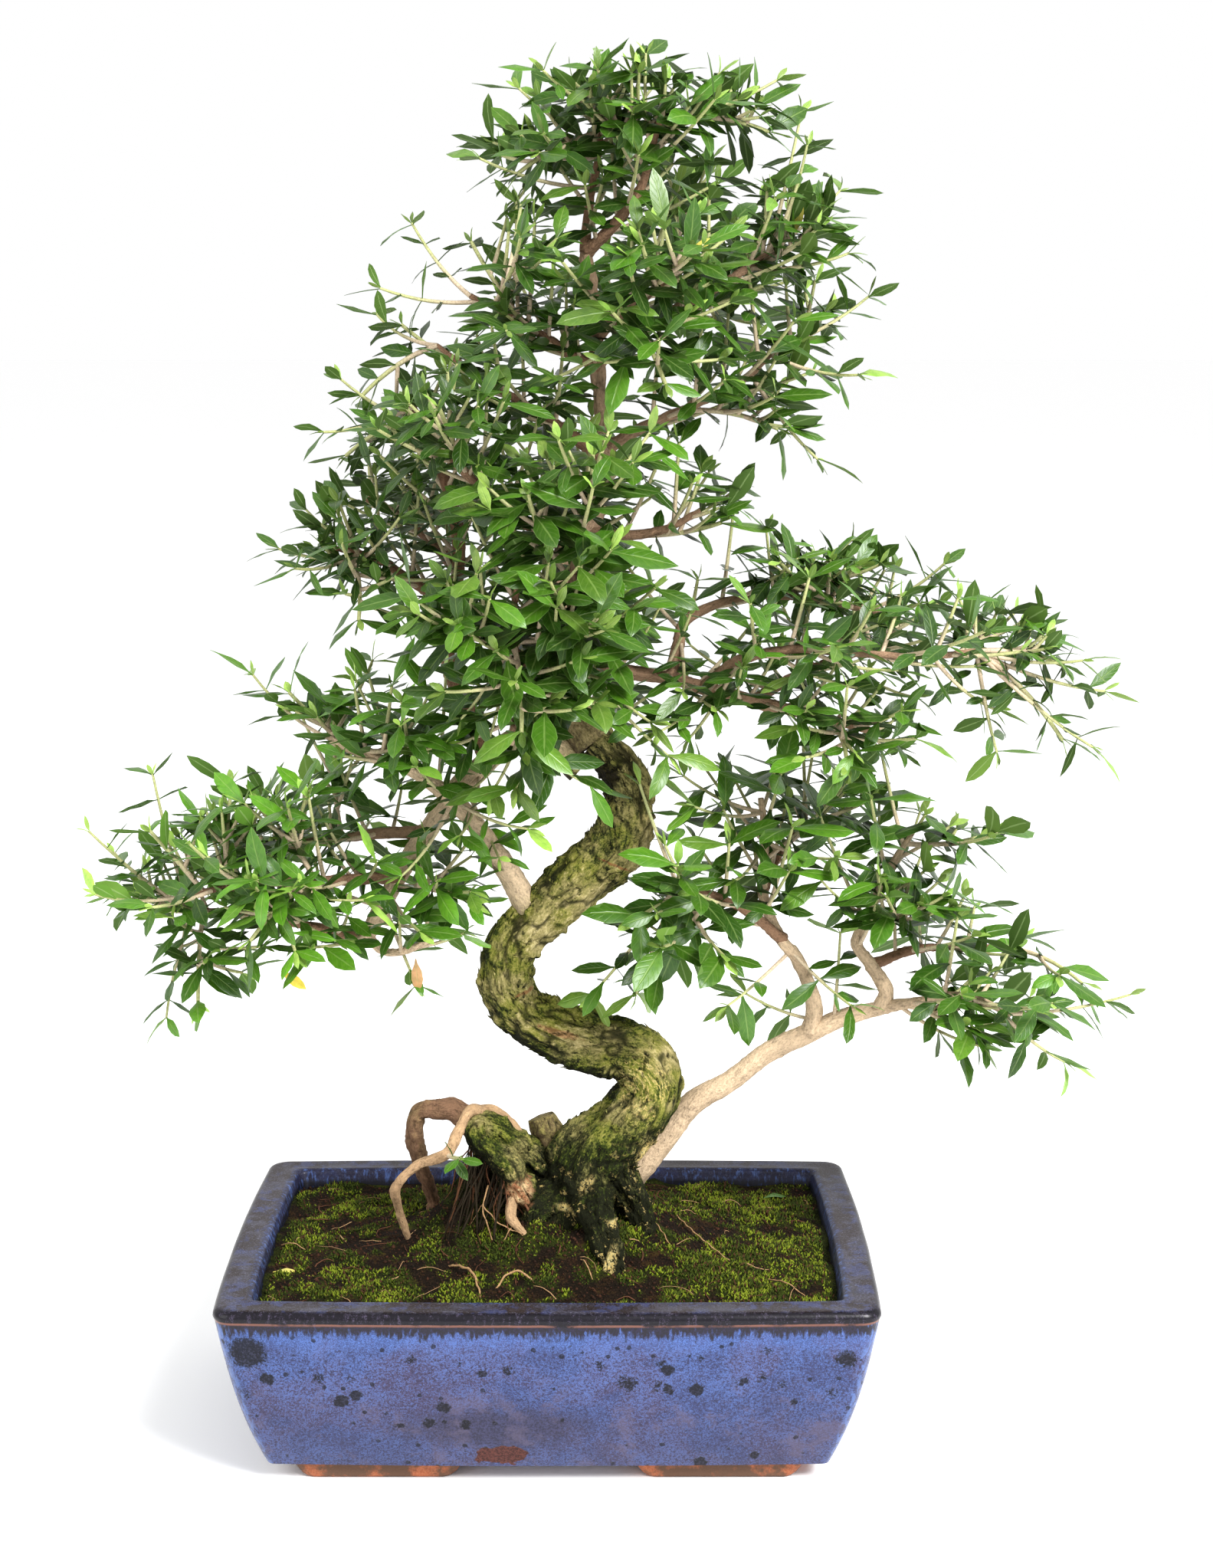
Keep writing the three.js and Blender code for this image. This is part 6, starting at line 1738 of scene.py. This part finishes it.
def leafy_stems(skin, stems, radii, seed, look, foliage, bare, clip=True, vigour=0.0):
    """Stems with their opposite leaves: a pair every node spacing down from the tip to the bare share,
    each a quarter turn on from the last, young and steep at the tip and wide and drooping below it.
    Leaves outside the clipped outline are left out, but for the young pair at each tip, and so is every
    leaf that ends outside the tree's box. Vigorous stems have younger leaves"""
    leaf_length = LEAF_LENGTH * look["leaf_scale"]
    count = len(stems)
    shares = np.tile(np.linspace(0, 1, STEM_STEPS), (count, 1))
    thick = radii[0] + (radii[1] - radii[0]) * shares
    strands(skin, bend(stems, shares)[0], thick, 6, age=1 - 0.9 * shares)
    length = bend_length(stems)
    spacing = foliage.node_spacing / MM * leaf_length / LEAF_LENGTH
    pairs = int(np.max(length) / spacing) + 2
    j = np.tile(np.arange(pairs), (count, 1))
    t = 1 - (0.6 + np.maximum(j - 1, 0) * spacing) / length[:, None]
    kept = t > bare
    at, tangent = bend(stems, np.clip(t, 0, 1))
    stem = np.tile(np.arange(count)[:, None], (1, pairs))
    at, tangent, j, stem = (np.repeat(v[kept], 2, axis=0) for v in (at, tangent, j, stem))
    n = np.arange(len(at))
    young = j == 0
    angle = np.pi / 2 * (j - 1) + np.pi * chance(seed, 4, stem) + np.pi * (n % 2)
    angle = angle + 0.35 * (chance(n, 51, seed) - 0.5)
    spread = np.where(young, 0.42, 0.85 + 0.22 * np.minimum(j - 1, 2)) + 0.35 * (chance(n, 52, seed) - 0.5)
    direction = turned(tangent, around(tangent, angle), spread)
    sag = np.where(young, -0.1, 0.6 * (chance(n, 53, seed) - 0.6) + look["sag"])[:, None]
    direction = unit(direction * np.where(young[:, None], 1, [1, 1, 0.5]) - sag * UP)
    outward = unit((at - [TRUNK_X, 0, 0]) * (1, 1, 0))
    openness = 0.12 + 0.76 * chance(n, 55, seed)[:, None]
    face = across(0.25 * tangent + 0.7 * UP + openness * outward, direction)
    grown = np.where(young, 0.44, 1.0 - 0.05 * np.maximum(j - 2, 0))
    length = leaf_length * grown * (0.68 + 0.54 * chance(n, 54, seed))
    tips = placed(at + direction * length[:, None])
    held = np.all((tips > CAD_BOX[0]) & (tips < CAD_BOX[1]), axis=1)
    if clip:
        inner = length * np.where(j == 1, 0.25, 0.6)
        held &= young | within_outline(at + direction * inner[:, None])
    age = np.where(young, 0, 0.24 + 0.24 * j) - vigour
    tints = leaf_tints(foliage, seed, age, n, look["painted_light"])
    at, direction, face, length, tints = (v[held] for v in (at, direction, face, length, tints))
    leaves(skin, at, direction, face, length, tints, look["slimness"], foliage)

def within_outline(points):
    """Whether points, moved along their line of sight from the eye to the plane y = 0, lie in the clipped
    outline: an odd number of its edges cross the level line to the right of such a point"""
    eye = np.array(EYE, float)
    flat = eye + (points - eye) * (-eye[1] / (points[..., 1:2] - eye[1]))
    x, z = flat[..., 0, None], flat[..., 2, None]
    (x1, z1), (x2, z2) = np.array(CLIPPED, float).T, np.roll(CLIPPED, -1, axis=0).T
    spans = (z1 > z) != (z2 > z)
    rise = np.where(z2 == z1, 1, z2 - z1)
    return np.sum(spans & (x < x1 + (z - z1) * (x2 - x1) / rise), axis=-1) % 2 == 1


def clipped(stems):
    """Each stem at the longest of the cuts that keeps its tip within the outline, or left out"""
    kept = []
    left = stems
    for reach in CUTS:
        cut = left[:, :1] + (left - left[:, :1]) * reach
        fits = within_outline(cut[:, 2] + 7 * unit(cut[:, 2] - cut[:, 1]))
        kept.append(cut[fits])
        left = left[~fits]
    return np.concatenate(kept)


def limb_shoots(points, seed, first, length, gap):
    """Short shoots on a limb from a share of its way on, one every gap"""
    _, at, tangent, _, _, radius, along = curve_frame(points, CURVE_STEPS)
    index = np.searchsorted(along, np.arange(first * along[-1], along[-1], gap))
    reach = length * (0.55 + 0.8 * chance(seed, 7, np.arange(len(index)))) + radius[index]
    return shoots_from(at[index], tangent[index], chance(seed, 6), (0.42, 0.8, 0.38), reach, 0.07)


def inner_foliage(pad, facts, foliage, materials):
    """The leafy shoots on the limbs of one pad, between its sprays, and its long fresh shoots"""
    shoots = [
        limb_shoots(
            LIMBS[name], index + 10 * len(pad), LEAFY_FROM.get(name, BARE_SHARE), SHOOT["limb_length"],
            facts["gap"],
        )
        for index, name in enumerate(facts["limbs"])
    ]
    skin = Skin()
    leafy_stems(skin, clipped(np.concatenate(shoots)), SHOOT["radii"], 300 + len(pad), facts, foliage, 0.1)
    if pad in WISPS:
        limbs = [LIMBS[limb] for limb in facts["limbs"]]
        wisps = np.stack([
            possible_twigs(500 + index, limbs, tip, SHORTEST_TWIG)[0] for index, tip in enumerate(WISPS[pad])
        ])
        wisps[:, 1, 2] = np.minimum(wisps[:, 1, 2], (wisps[:, 0, 2] + wisps[:, 2, 2]) / 2 - 5)
        slender = {**facts, "leaf_scale": facts["leaf_scale"] * 0.9, "slimness": facts["slimness"] * 0.9}
        leafy_stems(skin, wisps, WISP_RADII, 400 + len(pad), slender, foliage, 0.3, False, 0.15)
    if pad == "left":
        at, direction, length, tints = (np.array(column, float) for column in zip(*WILTED))
        direction = unit(direction)
        face = across(np.array([0.0, -1.0, 0.3]), direction)
        leaves(skin, at, direction, face, length, tints, 0.9, foliage)
    settle(skin.piece(pad + "_inner_foliage", materials, LEAF_CREASE), "leaf")


def spray_piece(node, seed, look, limbs, tip, shortest, shoots, foliage, materials):
    """One spray: its twig, the side shoots that leave it, and the leaves of them all"""
    twig = main_twig(node, seed, limbs, tip, shortest)
    skin = Skin()
    leafy_stems(skin, twig[None], TWIG_RADII, seed, look, foliage, 0.2, clip=False)
    if shoots:
        side = clipped(side_shoots(twig, seed, shoots, SHOOT["length"]))
        leafy_stems(skin, side, SHOOT["radii"], seed + 200, look, foliage, 0.1)
    settle(skin.piece(node + "_foliage", materials, LEAF_CREASE), "leaf", node)


def settle(piece, slot, *nodes):
    """The piece rides on the body and stands for its nodes. The slot is not used"""
    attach(piece, "root")
    if nodes:
        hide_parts(*nodes)


def fallen_leaf(node, slot, colour, foliage):
    """One leaf lying where its node lies: along the diagonal of the node's box"""
    low, high = ((np.array(corner) - POT_MIDDLE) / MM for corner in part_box(node))
    direction = unit((high - low) * (1, 1, 0.5))
    start = raised(low[:2], (low[2] + high[2]) / 2)
    length = np.linalg.norm((high - low)[:2]) * 1.02
    skin = Skin()
    leaves(
        skin, start[None], direction[None], across(UP, direction)[None], np.array([length]),
        np.array([colour]), 1.05, foliage, (0, 1, 1),
    )
    settle(skin.piece(node + "_blade", [leaf_material(), leaf_underside_material()], LEAF_CREASE), slot, node)


# Operators
class BONSAI_OT_pot(bpy.types.Operator):
    """Build the glazed pot and its clay feet"""

    bl_idname = "bonsai.pot"
    bl_label = "Pot"

    def execute(self, context):
        pot = context.scene.bonsai_pot
        settle(pot_body(pot), "glaze", "pot")
        settle(pot_feet(pot), "glaze", "pot")
        return {"FINISHED"}


class BONSAI_OT_drain_mesh(bpy.types.Operator):
    """Give the two squares of drain mesh their plastic"""

    bl_idname = "bonsai.drain_mesh"
    bl_label = "Drain mesh"

    def execute(self, context):
        plastic = plastic_material()
        for node in ("drain_mesh_left", "drain_mesh_right"):
            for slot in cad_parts[node].material_slots:
                slot.link = "OBJECT"
                slot.material = plastic
        return {"FINISHED"}


class BONSAI_OT_soil(bpy.types.Operator):
    """Build the soil and the crumbs, straws and rootlets on it"""

    bl_idname = "bonsai.soil"
    bl_label = "Soil"

    def execute(self, context):
        soil = context.scene.bonsai_soil
        settle(soil_piece(soil), "soil", "soil")
        settle(litter_piece(soil), "soil")
        return {"FINISHED"}


class BONSAI_OT_moss(bpy.types.Operator):
    """Grow moss on the soil"""

    bl_idname = "bonsai.moss"
    bl_label = "Moss"

    def execute(self, context):
        settle(moss_piece(context.scene.bonsai_soil), "soil")
        return {"FINISHED"}


class BONSAI_OT_wood(bpy.types.Operator):
    """Build the trunk, the branches and the surface roots"""

    bl_idname = "bonsai.wood"
    bl_label = "Wood"

    def execute(self, context):
        wood = context.scene.bonsai_wood
        for build in (trunk_piece, branches_piece, roots_piece):
            settle(build(wood), "bark", "tree")
        return {"FINISHED"}


class BONSAI_OT_foliage(bpy.types.Operator):
    """Grow every spray of leaves and the sprout on the root"""

    bl_idname = "bonsai.foliage"
    bl_label = "Foliage"

    def execute(self, context):
        foliage = context.scene.bonsai_foliage
        materials = [twig_material(foliage), leaf_material(), leaf_underside_material()]
        seed = 0
        for pad, facts in PADS.items():
            limbs = [LIMBS[limb] for limb in facts["limbs"]]
            inner_foliage(pad, facts, foliage, materials)
            for index, tip in enumerate(facts["tips"]):
                seed += 1
                spray_piece(
                    f"{pad}_spray_{index + 1}", seed, facts, limbs, tip, SHORTEST_TWIG, facts["shoots"],
                    foliage, materials,
                )
        spray_piece(
            "root_sprout", ROOT_SPROUT["seed"], SPROUT_LOOK, [ROOTS[ROOT_SPROUT["limb"]]], ROOT_SPROUT["tip"],
            SHORTEST_SPROUT, 0, foliage, materials,
        )
        return {"FINISHED"}


class BONSAI_OT_fallen_leaves(bpy.types.Operator):
    """Lay the fallen leaves on the soil"""

    bl_idname = "bonsai.fallen_leaves"
    bl_label = "Fallen leaves"

    def execute(self, context):
        foliage = context.scene.bonsai_foliage
        fallen_leaf("fallen_leaf_yellow", "leaf_yellow", foliage.yellow_leaf, foliage)
        fallen_leaf("fallen_leaf_green", "leaf_fallen", foliage.leaf, foliage)
        return {"FINISHED"}


class BONSAI_OT_stage(bpy.types.Operator):
    """Set the floor, the lights and the camera"""

    bl_idname = "bonsai.stage"
    bl_label = "Stage"

    def execute(self, context):
        stage = context.scene.bonsai_stage
        context.scene.view_settings.view_transform = "Standard"
        bpy.ops.mesh.primitive_plane_add(size=60, location=(0, 0, 0))
        floor = context.active_object
        floor.name = "pale_floor"
        floor.data.materials.append(floor_material(stage))
        world = bpy.data.worlds.new("soft surround")
        world.use_nodes = True
        world.node_tree.nodes["Background"].inputs["Color"].default_value = (1, 1, 1, 1)
        world.node_tree.nodes["Background"].inputs["Strength"].default_value = stage.sky
        context.scene.world = world
        add_lamp("key", stage.key, (1.0, -1.2, 1.45), 0.75)
        add_lamp("fill", stage.fill, (-1.4, -0.9, 0.9), 1.1)
        data = bpy.data.cameras.new("camera")
        data.lens = stage.lens
        data.sensor_width = 36
        camera = bpy.data.objects.new("camera", data)
        camera.location = Vector(POT_MIDDLE) + Vector((EYE[0] * MM, -stage.distance, stage.height))
        camera.rotation_euler = (math.pi / 2 - stage.pitch, 0, 0)
        context.scene.collection.objects.link(camera)
        context.scene.camera = camera
        return {"FINISHED"}


def add_lamp(name, power, place, width):
    """A square area lamp that faces the middle of the tree"""
    data = bpy.data.lights.new(name, "AREA")
    data.energy = power
    data.size = width
    lamp = bpy.data.objects.new(name, data)
    lamp.location = place
    aim = Vector((0, 0, 0.28)) - Vector(place)
    lamp.rotation_euler = aim.to_track_quat("-Z", "Y").to_euler()
    bpy.context.scene.collection.objects.link(lamp)


class BONSAI_PT_sidebar(bpy.types.Panel):
    """Buttons that build the bonsai's pieces"""

    bl_idname = "BONSAI_PT_sidebar"
    bl_label = "Serissa bonsai"
    bl_space_type = "VIEW_3D"
    bl_region_type = "UI"
    bl_category = "Bonsai"

    def draw(self, context):
        for operator in OPERATORS:
            self.layout.operator(operator.bl_idname)
        for name in SETTINGS:
            box = self.layout.box()
            group = getattr(context.scene, name)
            for key in group.bl_rna.properties.keys():
                if key not in ("rna_type", "name"):
                    box.prop(group, key)


SETTINGS = {
    "bonsai_pot": PotSettings,
    "bonsai_soil": SoilSettings,
    "bonsai_wood": WoodSettings,
    "bonsai_foliage": FoliageSettings,
    "bonsai_stage": StageSettings,
}
OPERATORS = (
    BONSAI_OT_pot, BONSAI_OT_drain_mesh, BONSAI_OT_soil, BONSAI_OT_moss, BONSAI_OT_wood, BONSAI_OT_foliage,
    BONSAI_OT_fallen_leaves, BONSAI_OT_stage,
)


def register():
    for group in SETTINGS.values():
        bpy.utils.register_class(group)
    for operator in (*OPERATORS, BONSAI_PT_sidebar):
        bpy.utils.register_class(operator)
    for name, group in SETTINGS.items():
        setattr(bpy.types.Scene, name, bpy.props.PointerProperty(type=group))


def unregister():
    for name in SETTINGS:
        delattr(bpy.types.Scene, name)
    for operator in (BONSAI_PT_sidebar, *reversed(OPERATORS)):
        bpy.utils.unregister_class(operator)
    for group in reversed(SETTINGS.values()):
        bpy.utils.unregister_class(group)


def main():
    register()
    bpy.ops.bonsai.pot()
    bpy.ops.bonsai.drain_mesh()
    bpy.ops.bonsai.soil()
    bpy.ops.bonsai.moss()
    bpy.ops.bonsai.wood()
    bpy.ops.bonsai.foliage()
    bpy.ops.bonsai.fallen_leaves()
    bpy.ops.bonsai.stage()


if __name__ == "__main__":
    main()
